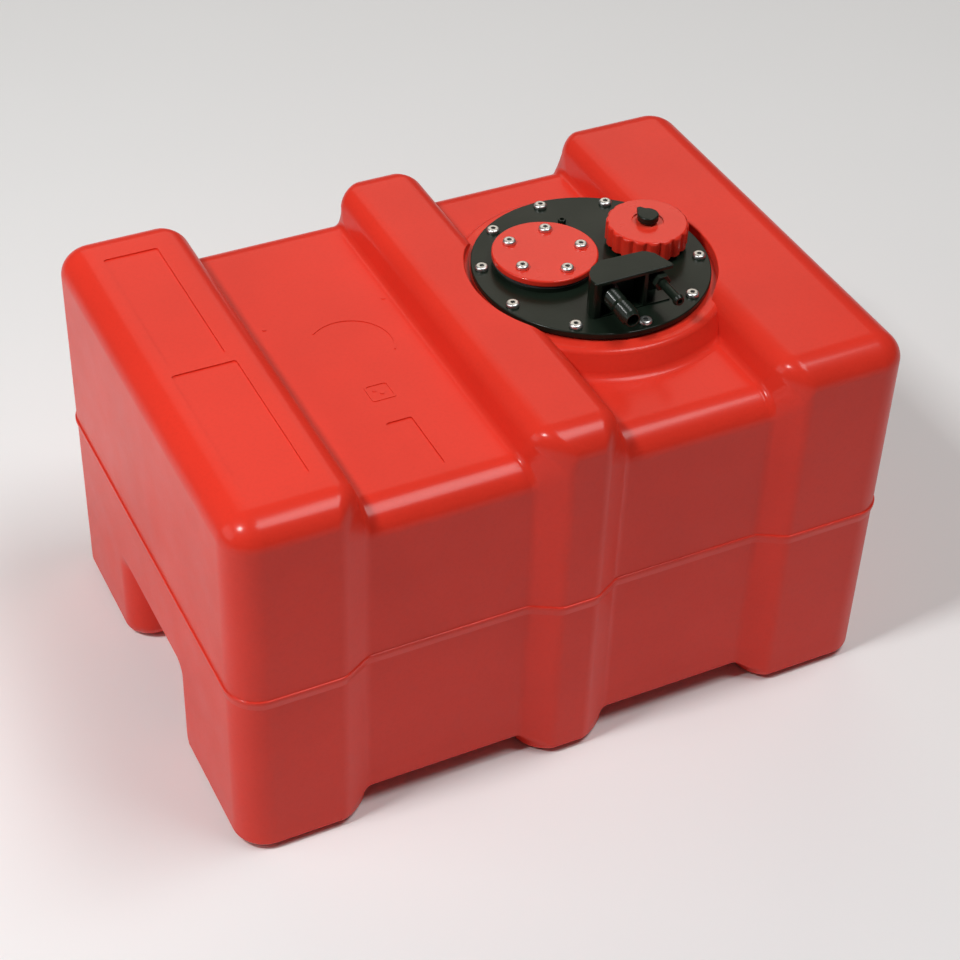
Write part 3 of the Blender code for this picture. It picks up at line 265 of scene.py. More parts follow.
# Moulded plastic: the scales are per metre, a range is where a noise starts and ends to count,
# a shade is the colour's share that stays, and edges are pointiness, 0.5 on a flat face
CLOUD_SCALE = 9.0
CLOUD_RANGE = (0.35, 0.65)
CLOUD_SHADE = 0.92
FLECK_SCALE = 420.0
FLECK_RANGE = (0.45, 0.75)
FLECK_SHADE = 0.6
FLECK_SHARE = 0.10
WEAR_EDGES = (0.53, 0.64)
WEAR_SCALE = 60.0
WEAR_RANGE = (0.4, 0.7)
WEAR_SHARE = 0.35
WEAR_ROUGHNESS = 0.15
SCUFF_STRETCH = (30, 900, 900)
SCUFF_RANGE = (0.58, 0.72)
SCUFF_ROUGHNESS = 0.05
PATCH_SCALE = 26.0
PATCH_RANGE = (0.3, 0.7)
PATCH_ROUGHNESS = 0.05
WAVE_SCALE = 14.0
GRAIN_SCALE = 520.0

# Turned metal: its hollows are darkened with painted shade
SMUDGE_SCALE = 180.0
SMUDGE_RANGE = (0.35, 0.7)
SMUDGE_SHADE = 0.82
PAINTED_SHADE_EDGES = (0.47, 0.42)
HOLLOW_PAINTED_SHADE = 0.35
LATHE_STRETCH = (900, 900, 7000)
LATHE_RANGE = (0.3, 0.7)
LATHE_SMOOTHER = 0.06
LATHE_ROUGHER = 0.10
LATHE_BUMP = 0.00002

# Seal rubber
BLOOM_SCALE = 90.0
BLOOM_RANGE = (0.45, 0.75)
BLOOM_SHADE = 1.9
RUBBER_ROUGHNESS = (0.62, 0.82)
RUBBER_GRAIN_SCALE = 900.0
RUBBER_GRAIN = 0.00003

# Floor
FLOOR_HALF = 8.0
FLOOR_DARK = (0.86, 0.86, 0.86, 1)
FLOOR_LIGHT = (0.88, 0.88, 0.88, 1)
FLOOR_SCALE = 3.0
FLOOR_ROUGHNESS = (0.80, 0.88)

# Colours
RED = (0.77, 0.038, 0.020)
RED_WORN = (0.92, 0.12, 0.07, 1)
GLOSSY_RED = (0.76, 0.036, 0.018)
GLOSSY_RED_WORN = (0.85, 0.12, 0.07, 1)
# Black nylon, with a greenish tint that is a painted reflection
BLACK_WITH_PAINTED_REFLECTION = (0.008, 0.014, 0.009)
BLACK_WORN = (0.05, 0.06, 0.05, 1)
STEEL = (0.86, 0.86, 0.84)
BRASS = (0.70, 0.47, 0.16)
SEAL = (0.030, 0.030, 0.032)
STRAINER = (0.55, 0.56, 0.52)
STRAINER_WORN = (0.6, 0.6, 0.6, 1)
METAL_ROUGHNESS = 0.34
WHITE = (1, 1, 1, 1)

# Camera, world and lights
CAMERA_RIGHT = (0.8984446439, -0.4379496639, 0.0315801301)
CAMERA_DOWN = (-0.2604805972, -0.5895059616, -0.7646127157)
CAMERA_FORWARD = (0.3534786231, 0.6787361164, -0.6437158979)
CAMERA_PLACE = (-0.5654922572, -1.1045267175, 1.1644270991)
CAMERA_LENS = 81.694
CAMERA_SENSOR = 36
CAMERA_FAR = 100
WORLD_STRENGTH = 0.05
BACKDROP_STRENGTH = 0.70
# Direction from the tank, distance, width and height, power in watts, and colour where it has one
LIGHTS = {
    "overhead": ((0.30, -0.18, 0.93), 4.4, (2.3, 1.4), 86),
    "left_side": ((-1.0, 0.15, 0.45), 2.2, (1.4, 1.0), 8),
    "left_spark": ((-0.56, -0.10, 0.82), 2.4, (0.34, 0.34), 28),
    "back": ((0.25, 0.80, 0.60), 4.5, (3.6, 2.2), 27, (1.0, 0.90, 0.78)),
}

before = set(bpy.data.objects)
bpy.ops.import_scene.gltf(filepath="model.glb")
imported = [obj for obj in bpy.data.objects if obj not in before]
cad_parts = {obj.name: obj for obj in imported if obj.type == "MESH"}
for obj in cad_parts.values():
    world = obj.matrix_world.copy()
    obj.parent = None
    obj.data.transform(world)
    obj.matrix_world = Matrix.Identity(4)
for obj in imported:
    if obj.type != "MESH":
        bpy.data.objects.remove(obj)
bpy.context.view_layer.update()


# Mesh helpers


def object_from(name, build):
    """Turn a bmesh into an object in the scene, with its faces pointing out."""
    bmesh.ops.recalc_face_normals(build, faces=build.faces)
    mesh = bpy.data.meshes.new(name)
    build.to_mesh(mesh)
    build.free()
    item = bpy.data.objects.new(name, mesh)
    bpy.context.scene.collection.objects.link(item)
    return item


def arc(centre, radius, start, end, steps=ARC_STEPS):
    """Points on an arc between two angles in degrees, ends included."""
    points = []
    for step in range(steps + 1):
        angle = math.radians(start + (end - start) * step / steps)
        points.append((centre[0] + radius * math.cos(angle), centre[1] + radius * math.sin(angle)))
    return points


def softened(points, radius, closed=False, steps=SOFT_STEPS):
    """Round the corners of a flat line, each by no more than half its shorter side."""
    corners = [Vector(point) for point in points]
    last = len(corners) - 1
    out = []
    for index, corner in enumerate(corners):
        if not closed and index in (0, last):
            out.append(corner)
            continue
        back = corners[index - 1] - corner
        ahead = corners[(index + 1) % len(corners)] - corner
        half = back.angle(ahead) / 2
        if half > STRAIGHT_HALF:
            out.append(corner)
            continue
        reach = min(radius / math.tan(half), back.length / 2, ahead.length / 2)
        size = reach * math.tan(half)
        back.normalize()
        ahead.normalize()
        centre = corner + (back + ahead).normalized() * size / math.sin(half)
        start = corner + back * reach - centre
        end = corner + ahead * reach - centre
        for step in range(steps + 1):
            out.append(centre + size * start.lerp(end, step / steps).normalized())
    return [tuple(point) for point in out]


def skin(build, loops):
    """Join each loop of vertices to the next, which has as many, with quads."""
    for before, after in zip(loops, loops[1:]):
        for index in range(len(before)):
            following = (index + 1) % len(before)
            build.faces.new((before[index], before[following], after[following], after[index]))


def revolved(name, profile, segments, place=(0, 0), closed=False):
    """Turn a profile of (radius, height) points about Z. A closed one joins its ends."""
    build = bmesh.new()
    rings = []
    for radius, height in profile:
        if radius < AXIS_RADIUS:
            rings.append([build.verts.new((place[0], place[1], height))])
            continue
        ring = []
        for index in range(segments):
            angle = math.tau * index / segments
            x = place[0] + radius * math.cos(angle)
            y = place[1] + radius * math.sin(angle)
            ring.append(build.verts.new((x, y, height)))
        rings.append(ring)
    pairs = list(zip(rings, rings[1:]))
    if closed:
        pairs.append((rings[-1], rings[0]))
    for lower, upper in pairs:
        for index in range(segments):
            following = (index + 1) % segments
            # A ring of one point gives that point for every index
            corners = [lower[index % len(lower)], lower[following % len(lower)]]
            corners += [upper[following % len(upper)], upper[index % len(upper)]]
            unique = list(dict.fromkeys(corners))
            if len(unique) > 2:
                build.faces.new(unique)
    return object_from(name, build)


def disc_cutter(name, radius, low, high, segments, place=(0, 0)):
    """Upright cylinder for cutting or joining."""
    return revolved(name, [(0, low), (radius, low), (radius, high), (0, high)], segments, place)


def prism(name, outline, low, high, edge=0):
    """Extrude a flat outline between two levels, and round its top edge if it is given one."""
    build = bmesh.new()
    base = [build.verts.new((point[0], point[1], low)) for point in outline]
    top = [build.verts.new((point[0], point[1], high)) for point in outline]
    skin(build, [base, top])
    build.faces.new(base)
    lid = build.faces.new(top)
    if edge:
        bmesh.ops.bevel(
            build,
            geom=list(lid.edges),
            offset=edge,
            segments=RIM_STEPS,
            profile=ROUND_PROFILE,
            affect="EDGES",
        )
    return object_from(name, build)


def block(name, low, high):
    """Box between two corners."""
    outline = [(low[0], low[1]), (high[0], low[1]), (high[0], high[1]), (low[0], high[1])]
    return prism(name, outline, low[2], high[2])


def combine(target, tool, operation):
    """Cut a tool from a piece, or join it to the piece, and use the tool up."""
    step = target.modifiers.new(operation, "BOOLEAN")
    step.operation = operation
    step.solver = "EXACT"
    step.object = tool
    bpy.context.view_layer.update()
    graph = bpy.context.evaluated_depsgraph_get()
    mesh = bpy.data.meshes.new_from_object(target.evaluated_get(graph))
    target.modifiers.clear()
    old = target.data
    target.data = mesh
    bpy.data.meshes.remove(old)
    bpy.data.objects.remove(tool)


def cut(target, tool):
    """Take a tool's space out of a piece."""
    combine(target, tool, "DIFFERENCE")


def join(target, tool):
    """Add a tool's space to a piece."""
    combine(target, tool, "UNION")


def finished(item, material, body, slot, *nodes):
    """Shade a piece, give it its material and its body, and let it stand for its CAD nodes."""
    item.data.shade_smooth()
    item.data.set_sharp_from_angle(angle=SHARP_ANGLE)
    weighted = item.modifiers.new("weighted_normals", "WEIGHTED_NORMAL")
    weighted.keep_sharp = True
    item.data.materials.clear()
    item.data.materials.append(material)
    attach(item, body)
    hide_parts(*nodes)


# Materials


class Nodes:
    """A material's node tree, with short calls for the nodes that the finishes share."""

    def __init__(self, name):
        self.material = bpy.data.materials.new(name)
        self.material.use_nodes = True
        self.tree = self.material.node_tree
        self.shader = self.tree.nodes["Principled BSDF"]
        self.place = self.tree.nodes.new("ShaderNodeTexCoord").outputs["Object"]

    def link(self, source, target):
        """Join two sockets."""
        self.tree.links.new(source, target)

    def stretched(self, scale):
        """Object coordinates, scaled by axis."""
        node = self.tree.nodes.new("ShaderNodeMapping")
        node.inputs["Scale"].default_value = scale
        self.link(self.place, node.inputs["Vector"])
        return node.outputs["Vector"]

    def noise(self, scale, detail=MEDIUM_DETAIL, place=None):
        """Noise over the object, or over other coordinates."""
        node = self.tree.nodes.new("ShaderNodeTexNoise")
        node.inputs["Scale"].default_value = scale
        node.inputs["Detail"].default_value = detail
        self.link(place or self.place, node.inputs["Vector"])
        return node.outputs["Fac"]

    def mapped(self, source, low, high, out_low=0.0, out_high=1.0):
        """Stretch a range of a value onto another range."""
        node = self.tree.nodes.new("ShaderNodeMapRange")
        node.inputs["From Min"].default_value = low
        node.inputs["From Max"].default_value = high
        node.inputs["To Min"].default_value = out_low
        node.inputs["To Max"].default_value = out_high
        self.link(source, node.inputs["Value"])
        return node.outputs["Result"]

    def mixed(self, share, first, second):
        """Mix two colours, or a socket and a colour, by a share."""
        node = self.tree.nodes.new("ShaderNodeMix")
        node.data_type = "RGBA"
        self.link(share, node.inputs["Factor"])
        for value, socket in ((first, node.inputs["A"]), (second, node.inputs["B"])):
            if isinstance(value, tuple):
                socket.default_value = value
            else:
                self.link(value, socket)
        return node.outputs["Result"]

    def maths(self, operation, first, second):
        """Put two values, or sockets, through one operation."""
        node = self.tree.nodes.new("ShaderNodeMath")
        node.operation = operation
        for value, socket in ((first, node.inputs[0]), (second, node.inputs[1])):
            if isinstance(value, float):
                socket.default_value = value
            else:
                self.link(value, socket)
        return node.outputs["Value"]

    def bump(self, height, distance, normal=None):
        """Bump of a height, on top of another normal if there is one."""
        node = self.tree.nodes.new("ShaderNodeBump")
        node.inputs["Distance"].default_value = distance
        self.link(height, node.inputs["Height"])
        if normal:
            self.link(normal, node.inputs["Normal"])
        return node.outputs["Normal"]

    def edges(self, low, high):
        """Share of a surface's edges that stand out, or sink in, by their pointiness."""
        node = self.tree.nodes.new("ShaderNodeNewGeometry")
        return self.mapped(node.outputs["Pointiness"], low, high)

    def set(self, **values):
        """Set the shader's own sockets."""
        for name, value in values.items():
            self.shader.inputs[name.replace("_", " ")].default_value = value


def shaded(colour, share):
    """A colour made lighter or darker by a share."""
    return (colour[0] * share, colour[1] * share, colour[2] * share, 1)


def moulded(name, colour, roughness, grain, wave, worn, specular=0.05, coat=0.4, coat_roughness=0.2):
    """Moulded plastic: cloudy colour, uneven gloss, scuffs, grain, slow waves and worn edges.

    The grain and the wave are the depths of two bumps, in metres.
    """
    nodes = Nodes(name)
    cloud = nodes.mapped(nodes.noise(CLOUD_SCALE), *CLOUD_RANGE)
    fleck = nodes.mapped(nodes.noise(FLECK_SCALE, LOW_DETAIL), *FLECK_RANGE)
    base = nodes.mixed(cloud, shaded(colour, CLOUD_SHADE), shaded(colour, 1.0))
    fleck_share = nodes.maths("MULTIPLY", fleck, FLECK_SHARE)
    base = nodes.mixed(fleck_share, base, shaded(colour, FLECK_SHADE))
    edges = nodes.edges(*WEAR_EDGES)
    wear = nodes.maths("MULTIPLY", edges, nodes.mapped(nodes.noise(WEAR_SCALE), *WEAR_RANGE))
    base = nodes.mixed(nodes.maths("MULTIPLY", wear, WEAR_SHARE), base, worn)
    nodes.link(base, nodes.shader.inputs["Base Color"])
    streaks = nodes.noise(1.0, HIGH_DETAIL, nodes.stretched(SCUFF_STRETCH))
    scuffs = nodes.mapped(streaks, *SCUFF_RANGE)
    smoothest = roughness - PATCH_ROUGHNESS
    roughest = roughness + PATCH_ROUGHNESS
    spread = nodes.noise(PATCH_SCALE, HIGH_DETAIL)
    patches = nodes.mapped(spread, *PATCH_RANGE, smoothest, roughest)
    rough = nodes.maths("ADD", patches, nodes.maths("MULTIPLY", scuffs, SCUFF_ROUGHNESS))
    rough = nodes.maths("ADD", rough, nodes.maths("MULTIPLY", wear, WEAR_ROUGHNESS))
    nodes.link(rough, nodes.shader.inputs["Roughness"])
    normal = nodes.bump(nodes.noise(WAVE_SCALE, SMOOTH_DETAIL), wave)
    normal = nodes.bump(nodes.noise(GRAIN_SCALE, LOW_DETAIL), grain, normal)
    nodes.link(normal, nodes.shader.inputs["Normal"])
    nodes.set(Specular_IOR_Level=specular, Coat_Weight=coat, Coat_Roughness=coat_roughness)
    return nodes.material


def metal(name, colour, roughness):
    """Turned metal: fine lathe lines, smudges and hollows darkened with painted shade."""
    nodes = Nodes(name)
    smudge = nodes.mapped(nodes.noise(SMUDGE_SCALE), *SMUDGE_RANGE)
    base = nodes.mixed(smudge, shaded(colour, SMUDGE_SHADE), shaded(colour, 1.0))
    # Painted shade: the hollows, found by their pointiness, are darkened
    base = nodes.mixed(nodes.edges(*PAINTED_SHADE_EDGES), base, shaded(colour, HOLLOW_PAINTED_SHADE))
    nodes.link(base, nodes.shader.inputs["Base Color"])
    lines = nodes.noise(1.0, LOW_DETAIL, nodes.stretched(LATHE_STRETCH))
    smoothest = roughness - LATHE_SMOOTHER
    rough = nodes.mapped(lines, *LATHE_RANGE, smoothest, roughness + LATHE_ROUGHER)
    nodes.link(rough, nodes.shader.inputs["Roughness"])
    nodes.link(nodes.bump(lines, LATHE_BUMP), nodes.shader.inputs["Normal"])
    nodes.set(Metallic=1.0)
    return nodes.material


def rubber(name, colour):
    """Dull seal rubber with bloom on it."""
    nodes = Nodes(name)
    bloom = nodes.mapped(nodes.noise(BLOOM_SCALE, HIGH_DETAIL), *BLOOM_RANGE)
    base = nodes.mixed(bloom, shaded(colour, 1.0), shaded(colour, BLOOM_SHADE))
    nodes.link(base, nodes.shader.inputs["Base Color"])
    nodes.link(nodes.mapped(bloom, 0.0, 1.0, *RUBBER_ROUGHNESS), nodes.shader.inputs["Roughness"])
    normal = nodes.bump(nodes.noise(RUBBER_GRAIN_SCALE), RUBBER_GRAIN)
    nodes.link(normal, nodes.shader.inputs["Normal"])
    return nodes.material


def floor_finish():
    """Plain pale floor with the faintest mottle."""
    nodes = Nodes("pale_floor")
    mottle = nodes.noise(FLOOR_SCALE, LOW_DETAIL)
    nodes.link(nodes.mixed(mottle, FLOOR_DARK, FLOOR_LIGHT), nodes.shader.inputs["Base Color"])
    nodes.link(nodes.mapped(mottle, 0.0, 1.0, *FLOOR_ROUGHNESS), nodes.shader.inputs["Roughness"])
    return nodes.material


# Tank


def flank_points(width, depth, shoulder, foot, steps):
    """S-shaped flank of a channel from (0, 0) to (width, depth): an arc, a straight and an arc."""
    both = shoulder + foot
    reach = math.hypot(width, both - depth)
    slope = math.asin(min(1, both / reach)) - math.atan2(both - depth, width)
    upper = []
    lower = []
    for step in range(steps + 1):
        angle = slope * step / steps
        along = math.sin(angle)
        drop = 1 - math.cos(angle)
        upper.append((shoulder * along, shoulder * drop))
        lower.append((width - foot * along, depth - foot * drop))
    return upper + lower[::-1]


def channel_stations(index, wall, steps):
    """Stations across one channel: places and drops on the side, top and base faces."""
    faces = ((SIDE_FLOORS, SIDE_FLANK), (TOP_FLOORS, TOP_FLANK), (BASE_FLOORS, BASE_FLANK))
    shapes = [flank_points(*flank, steps) for _, flank in faces]
    starts = [floors[index][0] - wall - flank[0] for floors, flank in faces]
    ends = [floors[index][1] + wall + flank[0] for floors, flank in faces]
    falling = []
    rising = []
    for points in zip(*shapes):
        drops = [point[1] for point in points]
        falling.append(([edge + point[0] for edge, point in zip(starts, points)], drops, 0))
        rising.append(([edge - point[0] for edge, point in zip(ends, points)], drops, 0))
    return falling + rising[::-1]


def bend_shares(steps):
    """Outward shares of the levels in a rounded edge, from its middle to the flat."""
    return [math.tan(math.radians(45) * step / steps) for step in range(steps, -1, -1)]


def tank_levels(wall, shares, bead):
    """Levels up the tank: place, outward share and how far the wall stands proud."""
    inset = -LOWER_INSET if bead else 0
    levels = [(BASE_RADIUS, -share, inset) for share in shares]
    if bead:
        bead_low = BEAD_TOP - BEAD_HEIGHT
        line = [
            (inset, bead_low - BEAD_CREST),
            (inset, bead_low),
            (BEAD_PROUD, BEAD_TOP - BEAD_CREST),
            (BEAD_PROUD, BEAD_TOP),
            (0, BEAD_TOP),
            (0, BEAD_TOP + BEAD_CREST),
        ]
        levels += [(level, 0, proud) for proud, level in softened(line, BEAD_EDGE)]
    levels += [(TANK_HEIGHT - TOP_RADIUS, share, 0) for share in reversed(shares)]
    return levels


def tank_block(name, wall, bend_steps, flank_steps, bead):
    """The banded block of the tank. With a wall it is the hollow inside that wall."""
    plan_radius = PLAN_RADIUS - wall
    top_radius = TOP_RADIUS - wall
    base_radius = BASE_RADIUS - wall
    core_x = TANK_LENGTH / 2 - PLAN_RADIUS
    shares = bend_shares(bend_steps)
    stations = [([-core_x] * 3, [0] * 3, -share) for share in shares]
    stations += channel_stations(0, wall, flank_steps)
    stations += channel_stations(1, wall, flank_steps)
    stations += [([core_x] * 3, [0] * 3, share) for share in reversed(shares)]
    across = [(-1, -share) for share in shares] + [(1, share) for share in reversed(shares)]
    levels = tank_levels(wall, shares, bead)

    def corner(i, j, k):
        """Point of the block at a station, a place across and a level."""
        places, drops, share_x = stations[i]
        side, share_y = across[j]
        z, share_z, proud = levels[k]
        out = Vector((share_x, share_y, share_z)).normalized()
        upper = out.z > 0
        flat_share = out.z * out.z
        x = places[0] * (1 - flat_share) + places[1 if upper else 2] * flat_share
        y = side * (TANK_WIDTH / 2 - drops[0] - PLAN_RADIUS)
        if k > len(levels) - len(shares) - 1:
            z -= drops[1]
        if k < len(shares):
            z += drops[2]
        plan = Vector((out.x, out.y, 0))
        point = Vector((x, y, z)) + plan_radius * plan
        point.z += (top_radius if upper else base_radius) * out.z
        return point + proud * plan

    build = bmesh.new()
    corners = {}

    def vertex(key):
        """The block's vertex at a corner, made once."""
        if key not in corners:
            corners[key] = build.verts.new(corner(*key))
        return corners[key]

    last = (len(stations) - 1, len(across) - 1, len(levels) - 1)
    for axis in range(3):
        first, second = [other for other in range(3) if other != axis]
        for fixed in (0, last[axis]):
            for u in range(last[first]):
                for v in range(last[second]):
                    face = []
                    for du, dv in ((0, 0), (1, 0), (1, 1), (0, 1)):
                        key = [0, 0, 0]
                        key[axis] = fixed
                        key[first] = u + du
                        key[second] = v + dv
                        face.append(vertex(tuple(key)))
                    build.faces.new(face)
    return object_from(name, build)


def grip_outline(half_width, height):
    """Arch of a carrying grip in the YZ plane, with rounded feet, from below the base and back."""
    foot_centre = (half_width + GRIP_FOOT_RADIUS, GRIP_FOOT_RADIUS)
    foot = arc(foot_centre, GRIP_FOOT_RADIUS, *GRIP_FOOT_TURN)
    crown_centre = (half_width - GRIP_CORNER_RADIUS, height - GRIP_CORNER_RADIUS)
    crown = arc(crown_centre, GRIP_CORNER_RADIUS, 0, 90)
    half = [(foot[0][0], -OVERRUN)] + foot + crown
    return half + [(-y, z) for y, z in reversed(half)]


def grip_cutter(name, end, grow=0):
    """Loft a grip's space from an end face inwards: flared at its mouth, rounded at its back."""
    face = TANK_LENGTH / 2 - LOWER_INSET
    sections = [(-OVERRUN, GRIP_MOUTH_RADIUS, GRIP_LIP_RADIUS)]
    for step in range(2 * ARC_STEPS + 1):
        sink = GRIP_MOUTH_RADIUS * (1 - math.cos(math.radians(90) * step / (2 * ARC_STEPS)))
        lip = max(0, GRIP_LIP_RADIUS - sink)
        flare = GRIP_MOUTH_RADIUS - sink
        wide = GRIP_MOUTH_RADIUS - math.sqrt(GRIP_MOUTH_RADIUS**2 - flare**2)
        high = GRIP_LIP_RADIUS - math.sqrt(GRIP_LIP_RADIUS**2 - lip**2)
        sections.append((sink, wide, high))
    for step in range(ARC_STEPS + 1):
        angle = math.radians(90) * step / ARC_STEPS
        sink = GRIP_DEPTH - GRIP_BACK_RADIUS * (1 - math.sin(angle))
        draw_in = GRIP_BACK_RADIUS * (math.cos(angle) - 1)
        sections.append((sink, draw_in, draw_in))
    build = bmesh.new()
    loops = []
    for sink, wide, high in sections:
        x = end * (face - sink - (grow if sink > 0 else 0))
        outline = grip_outline(GRIP_HALF_WIDTH + grow + wide, GRIP_HEIGHT + grow + high)
        loops.append([build.verts.new((x, GRIP_OFFSET + y, z)) for y, z in outline])
    skin(build, loops)
    build.faces.new(loops[0])
    build.faces.new(loops[-1])
    return object_from(name, build)


def seat_boss_profile():
    """Round boss under the flange, flared at its root where it meets the channel's floor."""
    bottom = RECESS_LEVEL - WALL / 2
    top = SEAT_LEVEL + SEAT_SKIM
    edge_centre = (SEAT_RADIUS - SEAT_EDGE_RADIUS, top - SEAT_EDGE_RADIUS)
    edge = arc(edge_centre, SEAT_EDGE_RADIUS, *SEAT_EDGE_TURN)
    root_x = SEAT_RADIUS + SEAT_FLARE + SEAT_ROOT_RADIUS
    root = arc((root_x, RECESS_LEVEL + SEAT_ROOT_RADIUS), SEAT_ROOT_RADIUS, *SEAT_ROOT_TURN)
    below = [(root_x, RECESS_LEVEL - SEAT_SINK), (root_x, bottom), (0, bottom)]
    return [(0, top)] + edge + root + below


def seat_cut_profile():
    """Space cleared above the seat, rounded where it breaks through the bands' tops."""
    wide = MOAT_RADIUS + SEAT_LIP_RADIUS
    lip = arc((wide, TANK_HEIGHT - SEAT_LIP_RADIUS), SEAT_LIP_RADIUS, 90, 180)
    top = TANK_HEIGHT + OVERRUN
    return [(0, top), (wide, top)] + lip + [(MOAT_RADIUS, SEAT_LEVEL), (0, SEAT_LEVEL)]


def panel_cutter(name, corners, level):
    """Shallow panel with rounded corners, sunk into a level face."""
    (left, front), (right, back) = corners
    rectangle = [(left, front), (right, front), (right, back), (left, back)]
    outline = softened(rectangle, PANEL_CORNER, closed=True)
    return prism(name, outline, level - PANEL_DEPTH, level + OVERRUN)


def line_mark(name, level, outer, inner):
    """Raised line between two outlines of as many points, sunk a little into its face."""
    build = bmesh.new()
    low = level - MARK_HEIGHT
    high = level + MARK_HEIGHT
    rows = [
        [build.verts.new((*point, height)) for point in outline]
        for outline, height in ((outer, low), (outer, high), (inner, high), (inner, low))
    ]
    skin(build, rows + rows[:1])
    return object_from(name, build)


def square_outline(place, half):
    """Square with rounded corners about a place."""
    signs = ((-1, -1), (1, -1), (1, 1), (-1, 1))
    corners = [(place[0] + half * x, place[1] + half * y) for x, y in signs]
    return softened(corners, PANEL_CORNER, closed=True)


def make_tank(material):
    """The hollow moulding: bands, channels, bead, grips, seat, and its shallow moulded marks."""
    tank = tank_block("tank_shell", 0, BEND_STEPS, FLANK_STEPS, bead=True)
    hollow = tank_block("tank_hollow", WALL, SOFT_STEPS, SOFT_STEPS, bead=False)
    for end in (-1, 1):
        cut(hollow, grip_cutter("grip_wall", end, WALL))
    centre = (FLANGE_X, 0)
    radius = MOAT_RADIUS + WALL
    low = SEAT_LEVEL - WALL
    cut(hollow, disc_cutter("seat_wall", radius, low, TANK_HEIGHT, ROUND_SEGMENTS, centre))
    cut(tank, hollow)
    join(tank, revolved("seat_boss", seat_boss_profile(), WIDE_SEGMENTS, centre))
    cut(tank, revolved("seat_space", seat_cut_profile(), WIDE_SEGMENTS, centre, closed=True))
    for end in (-1, 1):
        cut(tank, grip_cutter("grip", end))
    low = RECESS_LEVEL - WALL - OVERRUN
    cut(tank, disc_cutter("opening", OPENING_RADIUS, low, TANK_HEIGHT, ROUND_SEGMENTS, centre))
    for corners in BAND_PANELS:
        cut(tank, panel_cutter("band_panel", corners, TANK_HEIGHT))
    cut(tank, panel_cutter("floor_panel", FLOOR_PANEL, RECESS_LEVEL))
    outer = RING_MARK_RADIUS + MARK_WIDTH / 2
    inner = RING_MARK_RADIUS - MARK_WIDTH / 2
    start, end = RING_MARK_ENDS
    outline = arc(RING_MARK_PLACE, outer, start, end, SMALL_SEGMENTS)
    outline += arc(RING_MARK_PLACE, inner, end, start, SMALL_SEGMENTS)
    low = RECESS_LEVEL - MARK_HEIGHT
    high = RECESS_LEVEL + MARK_HEIGHT
    join(tank, prism("ring_mark", outline, low, high))
    half = SQUARE_MARK_HALF
    outlines = [square_outline(SQUARE_MARK_PLACE, size) for size in (half, half - MARK_WIDTH)]
    join(tank, line_mark("square_mark", RECESS_LEVEL, *outlines))
    for place in DOT_MARK_PLACES:
        join(tank, disc_cutter("dot_mark", DOT_MARK_RADIUS, low, high, SMALL_SEGMENTS, place))
    finished(tank, material, "tank", "red_polyethylene", "tank_body")


# Flange


def node_middle(node):
    """Middle of a CAD node in plan."""
    low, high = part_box(node)
    return ((low.x + high.x) / 2, (low.y + high.y) / 2)


def screw_holes(piece, names, low, high):
    """Cut a hole through a piece for the shank of each of the named screws."""
    for name in names:
        place = node_middle(name)
        cut(piece, disc_cutter("screw_hole", SHANK_HOLE_RADIUS, low, high, SMALL_SEGMENTS, place))


def stub_profile(radius, low, high):
    """Half the section of a short round stub with a soft rim at both ends."""
    return softened([(0, low), (radius, low), (radius, high), (0, high)], SOFT_EDGE)


def make_hood():
    """Keystone hood with two cells open at the front, softened all round."""
    bottom = (PLATE_BOTTOM + PLATE_TOP) / 2
    outline = [(FLANGE_X + PLATE_RADIUS * x, PLATE_RADIUS * y) for x, y in HOOD_OUTLINE_SHARES]
    right, front = outline[1]
    hood = prism("hood", softened(outline, HOOD_CORNER, closed=True), bottom, HOOD_TOP, HOOD_EDGE)
    low = PLATE_TOP + HOOD_FLOOR
    high = HOOD_TOP - HOOD_ROOF
    front -= OVERRUN
    left_cell = (HOOD_CELL_X, PARTITION_X - HOOD_WALL / 2)
    right_cell = (PARTITION_X + HOOD_WALL / 2, right + OVERRUN)
    for name, sides in (("left_cell", left_cell), ("right_cell", right_cell)):
        cut(hood, block(name, (sides[0], front, low), (sides[1], HOOD_PORT_FACE, high)))
    soft = hood.modifiers.new("soft_edges", "BEVEL")
    soft.width = SOFT_EDGE
    soft.segments = HOOD_SOFT_STEPS
    soft.limit_method = "ANGLE"
    soft.angle_limit = SHARP_ANGLE
    return hood


